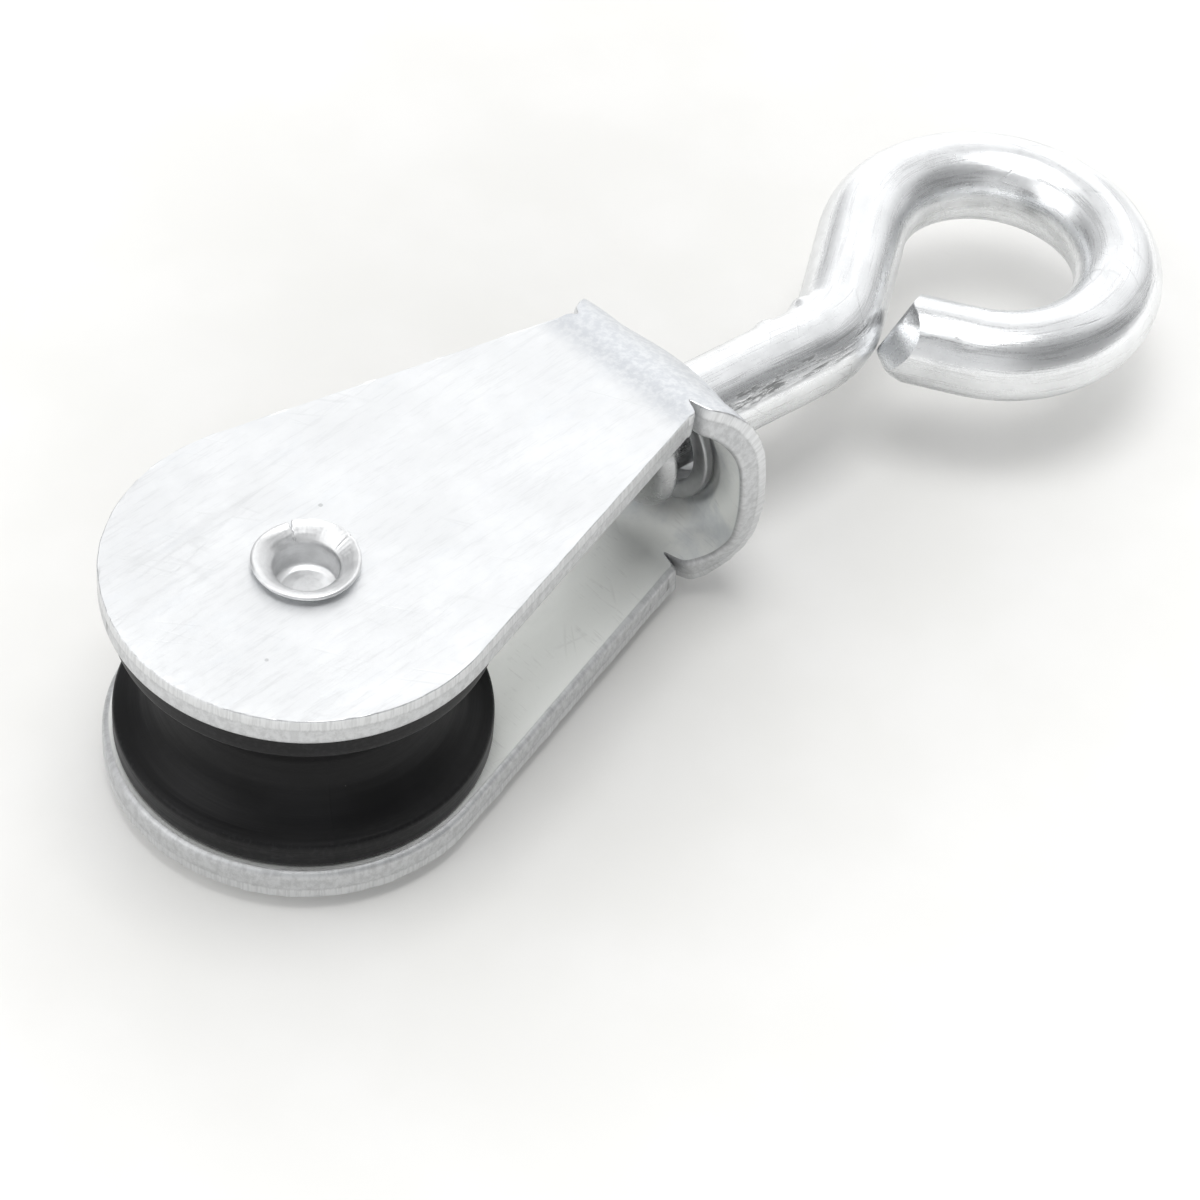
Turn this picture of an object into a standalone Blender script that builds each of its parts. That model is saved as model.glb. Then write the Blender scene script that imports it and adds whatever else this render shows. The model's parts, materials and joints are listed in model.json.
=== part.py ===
"""Single-sheave swivel-eye pulley block, modelled lying on its side.

One strap of sheet metal is folded into a U. Its two arms are the teardrop cheeks that hold a
nylon sheave on a riveted axle, and its web is dished and pierced for the shank of a swivel eye.
+X runs from the axle to the eye, +Z is the axle's axis, and the origin is the middle of the
axle rivet's flat head, which is the lowest point of the block.
"""

import math

import bmesh
import bpy
from mathutils import Matrix, Vector

MM = 0.001

# Strap: cheeks, bends and web
CHEEK_RADIUS = 16.7 * MM
CHEEK_TIP_X = 46.3 * MM
CHEEK_TIP_HALF_WIDTH = 5.1 * MM
STRAP_THICKNESS = 2.85 * MM
BLOCK_WIDTH = 21.75 * MM
BEND_RADIUS = 7.2 * MM
WEB_FACE_X = 42.6 * MM
EAR_HALF_WIDTH = 11.7 * MM
EAR_ROOT_HALF_WIDTH = 8.2 * MM
NOTCH_RADIUS = 0.9 * MM
NOTCH_HALF_WIDTH = 8.5 * MM
NOTCH_OFFSET = 0.37 * MM

# Dish in the web, where the eye's shank goes through
DISH_HEIGHT = 2.25 * MM
DISH_RADIUS = 9.5 * MM
DISH_FLATTENING = 0.76
DISH_RIM_WALL = 1.2 * MM
SWIVEL_HOLE_RADIUS = 4.65 * MM
SEAT_DEPTH = 1.2 * MM
HOLLOW_DEPTH = 1.0 * MM

# Axle: semi-tubular rivet on a spacer sleeve
RIVET_HEAD_HEIGHT = 1.1 * MM
RIVET_HEAD_RADIUS = 5.6 * MM
RIVET_HEAD_FACE_RADIUS = 5.0 * MM
RIVET_HEAD_EDGE_HEIGHT = 0.5 * MM
RIVET_SHANK_RADIUS = 3.5 * MM
RIVET_RIM_RADIUS = 4.5 * MM
RIVET_RIM_HEIGHT = 0.75 * MM
RIVET_RIM_CORNER = 0.3 * MM
RIVET_FUNNEL_RADIUS = 3.75 * MM
RIVET_FUNNEL_DEPTH = 1.4 * MM
RIVET_HOLE_RADIUS = 2.65 * MM
RIVET_HOLE_DEPTH = 3.6 * MM
SLEEVE_WALL = 1.1 * MM

# Sheave
SHEAVE_RADIUS = 15.875 * MM
SHEAVE_GROOVE_RADIUS = 11.6 * MM
SHEAVE_RIM_WIDTH = 2.3 * MM
SHEAVE_CHAMFER = 0.3 * MM

# Swivel eye: one round rod, and the washer under its upset end
ROD_RADIUS = 4.06 * MM
EYE_CENTRE_DISTANCE = 36.6 * MM
EYE_RADIUS = 12.0 * MM
NECK_BEND_RADIUS = 9.0 * MM
NECK_ANGLE = math.radians(40.0)
LOOP_SWEEP = math.radians(276.0)
TAIL_LENGTH = 3.6 * MM
TAIL_TIP_SCALE = 0.35
UPSET_RADIUS = 6.0 * MM
UPSET_HEIGHT = 3.4 * MM
UPSET_DOME_HEIGHT = 2.1 * MM
UPSET_EDGE_HEIGHT = 2.65 * MM
UPSET_EDGE_RADIUS = 5.64 * MM
UPSET_NECK_RADIUS = 3.65 * MM
WASHER_RADIUS = 6.5 * MM
WASHER_THICKNESS = 1.0 * MM
WASHER_HOLE_RADIUS = 4.8 * MM
UPSET_CLEARANCE = 0.75 * MM

# How the eye lies at rest, about its pivot in the web
EYE_YAW = math.radians(-5.7)
EYE_DROOP = math.radians(1.15)
EYE_ROLL = math.radians(1.7)

# Clearance between touching pieces, and how far a cutter runs past what it cuts
GAP = 0.3 * MM
OVERRUN = 2 * MM
HOLE_OVERRUN = 5 * MM
EAR_OVERRUN = 0.6 * MM
EAR_PLANE_STEP = 0.13 * MM

# Worked out from the sizes above
CHEEK_BOTTOM = RIVET_HEAD_HEIGHT + GAP
CHEEK_TOP = CHEEK_BOTTOM + BLOCK_WIDTH
MID_Z = (CHEEK_BOTTOM + CHEEK_TOP) / 2
INNER_HALF = BLOCK_WIDTH / 2 - STRAP_THICKNESS
BEND_START_X = WEB_FACE_X - BEND_RADIUS
INNER_BEND_RADIUS = BEND_RADIUS - STRAP_THICKNESS
CHEEK_HOLE_RADIUS = RIVET_SHANK_RADIUS + GAP
SLEEVE_INNER_RADIUS = RIVET_SHANK_RADIUS + GAP
SLEEVE_OUTER_RADIUS = SLEEVE_INNER_RADIUS + SLEEVE_WALL
SHEAVE_BORE_RADIUS = SLEEVE_OUTER_RADIUS + GAP
SHEAVE_HALF_WIDTH = INNER_HALF - GAP
WEB_INNER_X = WEB_FACE_X - STRAP_THICKNESS
SEAT_X = WEB_INNER_X + SEAT_DEPTH
WASHER_BACK_X = SEAT_X - GAP
WASHER_FACE_X = WASHER_BACK_X - WASHER_THICKNESS
PIVOT = Vector((WEB_FACE_X + GAP, 0.0, MID_Z))


def clear_scene():
    for obj in list(bpy.data.objects):
        bpy.data.objects.remove(obj, do_unlink=True)


def new_collection(name):
    collection = bpy.data.collections.new(name)
    bpy.context.scene.collection.children.link(collection)
    return collection


def material(name, colour, roughness, metallic):
    mat = bpy.data.materials.new(name)
    mat.use_nodes = True
    shader = mat.node_tree.nodes["Principled BSDF"]
    shader.inputs["Base Color"].default_value = (*colour, 1.0)
    shader.inputs["Roughness"].default_value = roughness
    shader.inputs["Metallic"].default_value = metallic
    return mat


def smooth(mesh, degrees=35.0):
    mesh.shade_smooth()
    mesh.set_sharp_from_angle(angle=math.radians(degrees))


def arc(centre, radius, start, end, steps):
    """Points along a circular arc, angles in radians, both ends included."""
    span = end - start
    return [
        (
            centre[0] + radius * math.cos(start + span * i / steps),
            centre[1] + radius * math.sin(start + span * i / steps),
        )
        for i in range(steps + 1)
    ]


def baked(obj, name, collection):
    """A mesh object of what obj evaluates to, with its caps welded and its place in its mesh."""
    graph = bpy.context.evaluated_depsgraph_get()
    mesh = bpy.data.meshes.new_from_object(obj.evaluated_get(graph))
    mesh.transform(obj.matrix_world)
    bm = bmesh.new()
    bm.from_mesh(mesh)
    bmesh.ops.remove_doubles(bm, verts=bm.verts, dist=1e-6)
    bmesh.ops.recalc_face_normals(bm, faces=bm.faces)
    bm.to_mesh(mesh)
    bm.free()
    bpy.data.objects.remove(obj, do_unlink=True)
    result = bpy.data.objects.new(name, mesh)
    collection.objects.link(result)
    return result


def slab(name, outline, half_thickness, matrix, collection):
    """A flat outline in the plane XY, thickened both ways along Z, then placed by matrix."""
    curve = bpy.data.curves.new(name, "CURVE")
    curve.dimensions = "2D"
    curve.fill_mode = "BOTH"
    curve.extrude = half_thickness
    spline = curve.splines.new("POLY")
    spline.points.add(len(outline) - 1)
    for point, (x, y) in zip(spline.points, outline):
        point.co = (x, y, 0.0, 1.0)
    spline.use_cyclic_u = True
    obj = bpy.data.objects.new(name, curve)
    collection.objects.link(obj)
    obj.matrix_world = matrix
    bpy.context.view_layer.update()
    return baked(obj, name, collection)


def turned(name, profile, matrix, collection, steps=48):
    """A closed profile of (radius, height) points turned about Z, then placed by matrix."""
    mesh = bpy.data.meshes.new(name)
    count = len(profile)
    edges = [(i, i + 1) for i in range(count - 1)]
    if min(profile[0][0], profile[-1][0]) > 0.0:
        edges.append((count - 1, 0))
    mesh.from_pydata([(r, 0.0, z) for r, z in profile], edges, [])
    obj = bpy.data.objects.new(name, mesh)
    collection.objects.link(obj)
    screw = obj.modifiers.new("turn", "SCREW")
    screw.axis = "Z"
    screw.angle = 2 * math.pi
    screw.steps = steps
    screw.render_steps = steps
    screw.use_merge_vertices = True
    screw.merge_threshold = 1e-6
    obj.matrix_world = matrix
    bpy.context.view_layer.update()
    return baked(obj, name, collection)


def boolean(target, cutter, operation):
    """Adds a Boolean modifier to target and puts the cutter out of the render."""
    cutter.hide_render = True
    cutter.display_type = "WIRE"
    modifier = target.modifiers.new(f"{operation.lower()} {cutter.name}", "BOOLEAN")
    modifier.operation = operation
    modifier.solver = "EXACT"
    modifier.object = cutter


def finish(obj, mat):
    """Applies obj's modifiers, so that it is one plain mesh, and gives it its material."""
    bpy.context.view_layer.update()
    graph = bpy.context.evaluated_depsgraph_get()
    mesh = bpy.data.meshes.new_from_object(obj.evaluated_get(graph))
    mesh.name = obj.name
    obj.modifiers.clear()
    obj.data = mesh
    mesh.materials.clear()
    mesh.materials.append(mat)
    smooth(mesh)


def cheek_outline():
    """A teardrop: an arc about the axle, then tangent lines that narrow towards the web."""
    reach = math.hypot(CHEEK_TIP_X, CHEEK_TIP_HALF_WIDTH)
    tangent = math.atan2(CHEEK_TIP_HALF_WIDTH, CHEEK_TIP_X) + math.acos(CHEEK_RADIUS / reach)
    round_end = arc((0.0, 0.0), CHEEK_RADIUS, tangent, 2 * math.pi - tangent, 56)
    start = Vector(round_end[0])
    along = (Vector((CHEEK_TIP_X, CHEEK_TIP_HALF_WIDTH)) - start).normalized()
    corner = start + along * ((BEND_START_X - start.x) / along.x)
    return [(corner.x, corner.y), *round_end, (corner.x, -corner.y)]


def ear_outline():
    """The web seen along X: two side edges bowed outward between the cheeks, as (y, z)."""
    half = BLOCK_WIDTH / 2 + EAR_OVERRUN
    sagitta = EAR_HALF_WIDTH - EAR_ROOT_HALF_WIDTH
    radius = (half * half + sagitta * sagitta) / (2 * sagitta)
    spread = math.asin(half / radius)
    right = arc((EAR_HALF_WIDTH - radius, MID_Z), radius, -spread, spread, 20)
    left = [(-y, 2 * MID_Z - z) for y, z in right]
    return [*right, *left]


def strap_outline():
    """The folded strap seen along Y: a U of constant thickness with round bends, as (x, z)."""
    back = -CHEEK_RADIUS - OVERRUN
    low = (BEND_START_X, CHEEK_BOTTOM + BEND_RADIUS)
    high = (BEND_START_X, CHEEK_TOP - BEND_RADIUS)
    quarter = math.pi / 2
    outer = [
        (back, CHEEK_BOTTOM),
        *arc(low, BEND_RADIUS, -quarter, 0.0, 14),
        *arc(high, BEND_RADIUS, 0.0, quarter, 14),
        (back, CHEEK_TOP),
    ]
    inner = [
        (back, CHEEK_TOP - STRAP_THICKNESS),
        *arc(high, INNER_BEND_RADIUS, quarter, 0.0, 12),
        *arc(low, INNER_BEND_RADIUS, 0.0, -quarter, 12),
        (back, CHEEK_BOTTOM + STRAP_THICKNESS),
    ]
    return [*outer, *inner]


def cylinder_profile(radius, height):
    """Half the section of a plain cylinder that stands on the plane XY."""
    return [(0.0, height), (radius, height), (radius, 0.0), (0.0, 0.0)]


def dish_profile(radius, height, depth):
    """A shallow spherical cap of the given height on a short cylinder of the given depth."""
    sphere = (radius * radius + height * height) / (2 * height)
    spread = math.asin(radius / sphere)
    cap = [
        (sphere * math.sin(spread * i / 10), height - sphere * (1 - math.cos(spread * i / 10)))
        for i in range(11)
    ]
    return [*cap, (radius, -depth), (0.0, -depth)]


def along_x(x, flattening=1.0):
    """Turns a shape made about Z so that its Z is world +X, starting at x on the web's axis."""
    turn = Matrix(((0, 0, 1, 0), (0, 1, 0, 0), (-1, 0, 0, 0), (0, 0, 0, 1)))
    squeeze = Matrix.Diagonal((flattening, 1.0, 1.0, 1.0))
    return Matrix.Translation((x, 0.0, MID_Z)) @ turn @ squeeze


def eye_frame():
    """The eye's own axes at rest: along the shank, across it towards the neck's side, and up."""
    level = math.cos(EYE_DROOP)
    along = Vector((level * math.cos(EYE_YAW), level * math.sin(EYE_YAW), -math.sin(EYE_DROOP)))
    side = Vector((0.0, 0.0, 1.0)).cross(along).normalized()
    up = along.cross(side)
    rolled_side = side * math.cos(EYE_ROLL) + up * math.sin(EYE_ROLL)
    rolled_up = along.cross(rolled_side)
    frame = Matrix((along, rolled_side, rolled_up)).transposed().to_4x4()
    return Matrix.Translation(PIVOT) @ frame


def eye_path():
    """The rod's centreline in the eye's plane, as (along, across) points from the pivot."""
    rise = EYE_RADIUS * math.cos(NECK_ANGLE) - NECK_BEND_RADIUS * (1 - math.cos(NECK_ANGLE))
    straight = rise / math.sin(NECK_ANGLE)
    shank_end = (
        EYE_CENTRE_DISTANCE
        - (EYE_RADIUS + NECK_BEND_RADIUS) * math.sin(NECK_ANGLE)
        - straight * math.cos(NECK_ANGLE)
    )
    quarter = math.pi / 2
    neck = arc((shank_end, NECK_BEND_RADIUS), NECK_BEND_RADIUS, -quarter, NECK_ANGLE - quarter, 7)
    start = quarter + NECK_ANGLE
    loop = arc((EYE_CENTRE_DISTANCE, 0.0), EYE_RADIUS, start, start - LOOP_SWEEP, 44)
    end = start - LOOP_SWEEP
    heading = (math.sin(end), -math.cos(end))
    tail = [
        (loop[-1][0] + heading[0] * TAIL_LENGTH * s, loop[-1][1] + heading[1] * TAIL_LENGTH * s)
        for s in (0.5, 1.0)
    ]
    return [*neck, *loop, *tail]


def make_strap(parts, cutters, mat):
    upright = Matrix(((1, 0, 0, 0), (0, 0, -1, 0), (0, 1, 0, 0), (0, 0, 0, 1)))
    strap = slab("strap_frame", strap_outline(), CHEEK_RADIUS + OVERRUN, upright, parts)
    flat = Matrix.Translation((0.0, 0.0, MID_Z))
    plan = slab("cheek_plan", cheek_outline(), BLOCK_WIDTH, flat, cutters)
    facing = Matrix(((0, 0, 1, 0), (1, 0, 0, 0), (0, 1, 0, 0), (0, 0, 0, 1)))
    ear_depth = 2 * BEND_RADIUS
    ears_at = Matrix.Translation((BEND_START_X + ear_depth - EAR_PLANE_STEP, 0.0, 0.0)) @ facing
    ears = slab("ear_plan", ear_outline(), ear_depth, ears_at, cutters)
    boolean(plan, ears, "UNION")
    boolean(strap, plan, "INTERSECT")

    dome = turned(
        "dish_dome",
        dish_profile(DISH_RADIUS, DISH_HEIGHT, OVERRUN),
        along_x(WEB_FACE_X, DISH_FLATTENING),
        cutters,
    )
    hollow = turned(
        "dish_hollow",
        dish_profile(DISH_RADIUS - DISH_RIM_WALL, HOLLOW_DEPTH, HOLE_OVERRUN),
        along_x(WEB_INNER_X, DISH_FLATTENING),
        cutters,
    )
    seat = turned(
        "washer_seat",
        cylinder_profile(WASHER_RADIUS + GAP, HOLE_OVERRUN),
        along_x(SEAT_X - HOLE_OVERRUN),
        cutters,
    )
    hole = turned(
        "swivel_hole",
        cylinder_profile(SWIVEL_HOLE_RADIUS, STRAP_THICKNESS + 2 * HOLE_OVERRUN),
        along_x(WEB_INNER_X - HOLE_OVERRUN),
        cutters,
    )
    through = BLOCK_WIDTH + 2 * HOLE_OVERRUN
    axle = turned(
        "axle_hole",
        cylinder_profile(CHEEK_HOLE_RADIUS, through),
        Matrix.Translation((0.0, 0.0, CHEEK_BOTTOM - HOLE_OVERRUN)),
        cutters,
        steps=36,
    )
    boolean(strap, dome, "UNION")
    for cutter in (hollow, seat, hole, axle):
        boolean(strap, cutter, "DIFFERENCE")
    for name, side in (("right", -1), ("left", 1)):
        place = (BEND_START_X + NOTCH_OFFSET, side * NOTCH_HALF_WIDTH, CHEEK_BOTTOM - HOLE_OVERRUN)
        notch = turned(
            f"relief_notch_{name}",
            cylinder_profile(NOTCH_RADIUS, through),
            Matrix.Translation(place),
            cutters,
            steps=12,
        )
        boolean(strap, notch, "DIFFERENCE")
    finish(strap, mat)


def make_sheave(parts, mat):
    """Two thin rims, a round groove between them and a plain bore."""
    half = SHEAVE_HALF_WIDTH
    groove_half = half - SHEAVE_RIM_WIDTH
    depth = SHEAVE_RADIUS - SHEAVE_GROOVE_RADIUS
    groove = (groove_half * groove_half + depth * depth) / (2 * depth)
    spread = math.asin(groove_half / groove)
    hollow = arc(
        (SHEAVE_GROOVE_RADIUS + groove, 0.0), groove, math.pi - spread, math.pi + spread, 14
    )
    profile = [
        (SHEAVE_BORE_RADIUS, half),
        (SHEAVE_RADIUS - SHEAVE_CHAMFER, half),
        (SHEAVE_RADIUS, half - SHEAVE_CHAMFER),
        *hollow,
        (SHEAVE_RADIUS, SHEAVE_CHAMFER - half),
        (SHEAVE_RADIUS - SHEAVE_CHAMFER, -half),
        (SHEAVE_BORE_RADIUS, -half),
    ]
    sheave = turned("sheave", profile, Matrix.Translation((0.0, 0.0, MID_Z)), parts, steps=72)
    finish(sheave, mat)


def make_axle(parts, steel, sleeve_steel):
    """A semi-tubular rivet, flat head below and rolled rim above, in its spacer sleeve."""
    rim_bottom = CHEEK_TOP + GAP
    rim_top = rim_bottom + RIVET_RIM_HEIGHT
    hole_bottom = rim_top - RIVET_HOLE_DEPTH
    profile = [
        (0.0, hole_bottom),
        (RIVET_HOLE_RADIUS, hole_bottom),
        (RIVET_HOLE_RADIUS, rim_top - RIVET_FUNNEL_DEPTH),
        (RIVET_FUNNEL_RADIUS, rim_top),
        (RIVET_RIM_RADIUS - RIVET_RIM_CORNER, rim_top),
        (RIVET_RIM_RADIUS, rim_top - RIVET_RIM_CORNER),
        (RIVET_RIM_RADIUS, rim_bottom),
        (RIVET_SHANK_RADIUS, rim_bottom),
        (RIVET_SHANK_RADIUS, RIVET_HEAD_HEIGHT),
        (RIVET_HEAD_RADIUS, RIVET_HEAD_HEIGHT),
        (RIVET_HEAD_RADIUS, RIVET_HEAD_EDGE_HEIGHT),
        (RIVET_HEAD_FACE_RADIUS, 0.0),
        (0.0, 0.0),
    ]
    rivet = turned("axle_rivet", profile, Matrix.Identity(4), parts, steps=40)
    finish(rivet, steel)
    half = INNER_HALF - GAP
    sleeve = turned(
        "axle_sleeve",
        [
            (SLEEVE_INNER_RADIUS, half),
            (SLEEVE_OUTER_RADIUS, half),
            (SLEEVE_OUTER_RADIUS, -half),
            (SLEEVE_INNER_RADIUS, -half),
        ],
        Matrix.Translation((0.0, 0.0, MID_Z)),
        parts,
        steps=40,
    )
    finish(sleeve, sleeve_steel)


def make_washer(parts, mat):
    washer = turned(
        "swivel_washer",
        [
            (WASHER_HOLE_RADIUS, WASHER_THICKNESS),
            (WASHER_RADIUS, WASHER_THICKNESS),
            (WASHER_RADIUS, 0.0),
            (WASHER_HOLE_RADIUS, 0.0),
        ],
        along_x(WASHER_FACE_X),
        parts,
        steps=48,
    )
    finish(washer, mat)


def make_eye(parts, cutters, mat):
    """The rod as a bevelled curve, joined to the lens-shaped upset head on its inner end."""
    frame = eye_frame()
    head_back = PIVOT.x - WASHER_FACE_X + UPSET_CLEARANCE
    curve = bpy.data.curves.new("swivel_eye", "CURVE")
    curve.dimensions = "3D"
    curve.bevel_depth = ROD_RADIUS
    curve.bevel_resolution = 4
    curve.use_fill_caps = True
    path = [(-head_back - UPSET_HEIGHT + UPSET_EDGE_HEIGHT, 0.0), (0.0, 0.0), *eye_path()]
    spline = curve.splines.new("POLY")
    spline.points.add(len(path) - 1)
    for point, (along, across) in zip(spline.points, path):
        point.co = (along, across, 0.0, 1.0)
    spline.points[-2].radius = (1 + TAIL_TIP_SCALE) / 2
    spline.points[-1].radius = TAIL_TIP_SCALE
    rod = bpy.data.objects.new("swivel_eye", curve)
    parts.objects.link(rod)
    rod.matrix_world = frame
    bpy.context.view_layer.update()
    rod = baked(rod, "swivel_eye", parts)

    lens = [
        (UPSET_RADIUS * math.sin(angle), -UPSET_DOME_HEIGHT * (1 - math.cos(angle)))
        for angle in (math.pi / 2 * i / 8 for i in range(9))
    ]
    lens.append((UPSET_EDGE_RADIUS, -UPSET_EDGE_HEIGHT))
    lens.append((UPSET_NECK_RADIUS, -UPSET_HEIGHT))
    lens.append((0.0, -UPSET_HEIGHT))
    turn = Matrix(((0, 0, -1, 0), (0, 1, 0, 0), (1, 0, 0, 0), (0, 0, 0, 1)))
    place = frame @ Matrix.Translation((-head_back - UPSET_HEIGHT, 0.0, 0.0)) @ turn
    upset = turned("upset_head", lens, place, cutters, steps=36)
    boolean(rod, upset, "UNION")
    finish(rod, mat)


def main():
    clear_scene()
    parts = new_collection("swivel_eye_pulley_block")
    cutters = new_collection("cutters")
    cutters.hide_render = True
    make_strap(parts, cutters, material("bright_strap", (0.80, 0.81, 0.82), 0.32, 1.0))
    make_sheave(parts, material("black_nylon", (0.022, 0.022, 0.024), 0.38, 0.0))
    make_axle(
        parts,
        material("rivet_steel", (0.62, 0.62, 0.62), 0.30, 1.0),
        material("sleeve_steel", (0.55, 0.55, 0.56), 0.35, 1.0),
    )
    make_washer(parts, material("washer_steel", (0.42, 0.43, 0.44), 0.40, 1.0))
    make_eye(parts, cutters, material("satin_rod", (0.78, 0.79, 0.80), 0.28, 1.0))


main()
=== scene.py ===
import json
import math

import bmesh
import bpy
import numpy as np
from mathutils import Matrix, Vector


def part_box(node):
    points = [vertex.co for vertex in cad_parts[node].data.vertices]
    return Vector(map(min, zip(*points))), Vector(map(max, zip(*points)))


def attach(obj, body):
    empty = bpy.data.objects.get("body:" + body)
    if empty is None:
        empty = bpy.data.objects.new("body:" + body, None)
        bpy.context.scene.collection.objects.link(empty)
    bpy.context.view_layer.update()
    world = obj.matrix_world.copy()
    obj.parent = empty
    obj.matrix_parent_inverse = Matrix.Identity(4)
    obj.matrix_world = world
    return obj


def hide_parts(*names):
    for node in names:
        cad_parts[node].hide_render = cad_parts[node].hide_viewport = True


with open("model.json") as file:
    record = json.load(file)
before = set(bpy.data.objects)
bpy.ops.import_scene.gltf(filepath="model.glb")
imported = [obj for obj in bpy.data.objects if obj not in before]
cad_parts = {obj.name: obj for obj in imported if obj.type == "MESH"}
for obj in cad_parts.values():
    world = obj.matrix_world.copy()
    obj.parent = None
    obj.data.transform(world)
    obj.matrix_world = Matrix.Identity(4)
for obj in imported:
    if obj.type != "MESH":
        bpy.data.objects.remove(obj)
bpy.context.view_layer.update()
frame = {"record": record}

bl_info = {
    "name": "Swivel-eye pulley block",
    "version": (1, 0, 0),
    "blender": (4, 5, 0),
    "location": "3D View > Sidebar > Pulley block",
    "description": "Builds a small pulley block with a plated strap, a nylon sheave and a rod eye",
    "category": "Object",
}

MM = 0.001
JOINTS = {joint["name"]: joint for joint in frame["record"]["behaviour"]["joints"]}

# Places and sizes that the frame gives
SHEAVE_LOW, SHEAVE_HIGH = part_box("sheave")
STRAP_LOW, STRAP_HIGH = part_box("strap_frame")
RIVET_LOW, RIVET_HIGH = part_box("axle_rivet")
WASHER_LOW, WASHER_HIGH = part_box("swivel_washer")
PIVOT = Vector(JOINTS["eye_rock"]["pos_m"])
MID_Z = (STRAP_LOW.z + STRAP_HIGH.z) / 2
CHEEK_RADIUS = -STRAP_LOW.x
RIVET_HEAD_RADIUS = RIVET_HIGH.x
HALF_HEIGHT = (STRAP_HIGH.z - STRAP_LOW.z) / 2
SHEAVE_RADIUS = SHEAVE_HIGH.x
SHEAVE_HALF_WIDTH = (SHEAVE_HIGH.z - SHEAVE_LOW.z) / 2

# How much closer than the frame's sheave the nylon comes to the cheeks, and the recess in its
# faces, whose sides slope at 45 degrees
SHEAVE_FIT = 0.2 * MM
RECESS_INNER = 8.0 * MM
RECESS_OUTER = 13.9 * MM
RECESS_DEPTH = 0.5 * MM

# Strap, as the frame has it
BEND_RADIUS = 7.2 * MM
WEB_FACE_X = 42.6 * MM
CHEEK_TIP = (46.3 * MM, 5.1 * MM)
BEND_START_X = WEB_FACE_X - BEND_RADIUS
AXLE_HOLE_RADIUS = 3.8 * MM
SWIVEL_HOLE_RADIUS = 4.65 * MM
RIVET_HEAD_HEIGHT = 1.1 * MM
RIVET_HOLE_DEPTH = 3.75 * MM

# The ears end this far before the bends do. The dish's reach is from its middle to its foot.
EAR_STOP = 1.5 * MM
EAR_LEAN = 0.55 * MM
DISH_REACH_Y = 10.35 * MM
DISH_REACH_Z = 8.9 * MM
SEAT_RADIUS = 7.1 * MM
SEAT_DEPTH = 0.34 * MM

# How much deeper than the frame's washer the real one seats in the dish
WASHER_SEATING = 0.35 * MM

# How the eye lies at rest
EYE_YAW = math.radians(-5.7)
EYE_DROOP = math.radians(1.15)
EYE_ROLL = math.radians(1.7)
EYE_CENTRE_DISTANCE = 36.6 * MM

# The rod's bends and its ends. The upset head's underside is HEAD_BACK inside the pivot, the
# head's top is HEAD_END, and the cut end's nose reaches PINCH_LENGTH past the tail. The two
# numbers of CUT_TURN are the cosine and sine by which the cut is turned about the rod.
NECK_ANGLE = math.radians(40.0)
LOOP_SWEEP = math.radians(271.0)
TAIL_LENGTH = 1.4 * MM
PINCH_LENGTH = 6.6 * MM
CUT_TURN = (0.73, 0.68)
HEAD_LENGTH = 3.4 * MM
HEAD_BACK = 3.95 * MM
HEAD_END = -(HEAD_BACK + HEAD_LENGTH)


def length(name, description, default):
    """A size in metres, as a property that the panel can show."""
    return bpy.props.FloatProperty(
        name=name, description=description, default=default, min=0.0, unit="LENGTH", precision=5
    )


def colour(name, description, default):
    """A colour, as a property that the panel can show."""
    return bpy.props.FloatVectorProperty(
        name=name, description=description, default=default, min=0.0, max=1.0, subtype="COLOR"
    )


class StrapSettings(bpy.types.PropertyGroup):
    """Sizes and colour of the folded strap."""

    thickness: length("Thickness", "Thickness of the strap's metal", 2.85 * MM)
    burr_round: length("Outer edge radius", "Radius of the sharp edge on the strap's outside", 0.13 * MM)
    edge_round: length("Inner edge radius", "Radius of the rolled-over edge on the inside", 0.6 * MM)
    ear_half_width: length("Ear half width", "Half of the web's width across its ears", 11.7 * MM)
    dish_height: length("Dish height", "How far the web is pressed outward", 2.42 * MM)
    metal: colour("Metal", "Colour of the plated strap", (0.86, 0.87, 0.88))


class SheaveSettings(bpy.types.PropertyGroup):
    """Sizes and colour of the sheave."""

    groove_radius: length("Groove radius", "Radius at the bottom of the groove", 11.6 * MM)
    rim_width: length("Rim width", "Width of each rim's edge", 2.3 * MM)
    bore_radius: length("Bore radius", "Radius of the bore", 5.2 * MM)
    nylon: colour("Nylon", "Colour of the sheave", (0.0042, 0.0042, 0.0047))


class AxleSettings(bpy.types.PropertyGroup):
    """Sizes and colour of the axle rivet and its sleeve."""

    rim_radius: length("Rim radius", "Radius of the rolled rim", 4.5 * MM)
    hole_radius: length("Hole radius", "Radius of the blind hole in the rivet's end", 2.65 * MM)
    shank_radius: length("Shank radius", "Radius of the rivet's shank", 3.5 * MM)
    metal: colour("Metal", "Colour of the rivet", (0.86, 0.865, 0.87))


class EyeSettings(bpy.types.PropertyGroup):
    """Sizes and colour of the swivel eye and its washer."""

    rod_radius: length("Rod radius", "Radius of the eye's rod", 4.06 * MM)
    loop_radius: length("Loop radius", "Radius of the loop, to the rod's middle", 11.9 * MM)
    neck_radius: length("Neck radius", "Radius of the bend where the shank turns", 9.0 * MM)
    upset_radius: length("Head radius", "Radius of the upset head inside the strap", 6.05 * MM)
    metal: colour("Metal", "Colour of the bright rod", (0.86, 0.87, 0.88))


# ---------------------------------------------------------------- meshes


def grid_quads(rows, columns, wrap=False):
    """Quads of a grid whose point (i, j) is number i * columns + j. Wrap joins the last column
    to the first."""
    i = np.arange(rows - 1)[:, None]
    j = np.arange(columns if wrap else columns - 1)[None, :]
    following = (j + 1) % columns
    corners = (i * columns + j, i * columns + following)
    above = (corners[0] + columns, corners[1] + columns)
    return np.stack([corners[0], corners[1], above[1], above[0]], axis=-1).reshape(-1, 4)


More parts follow.
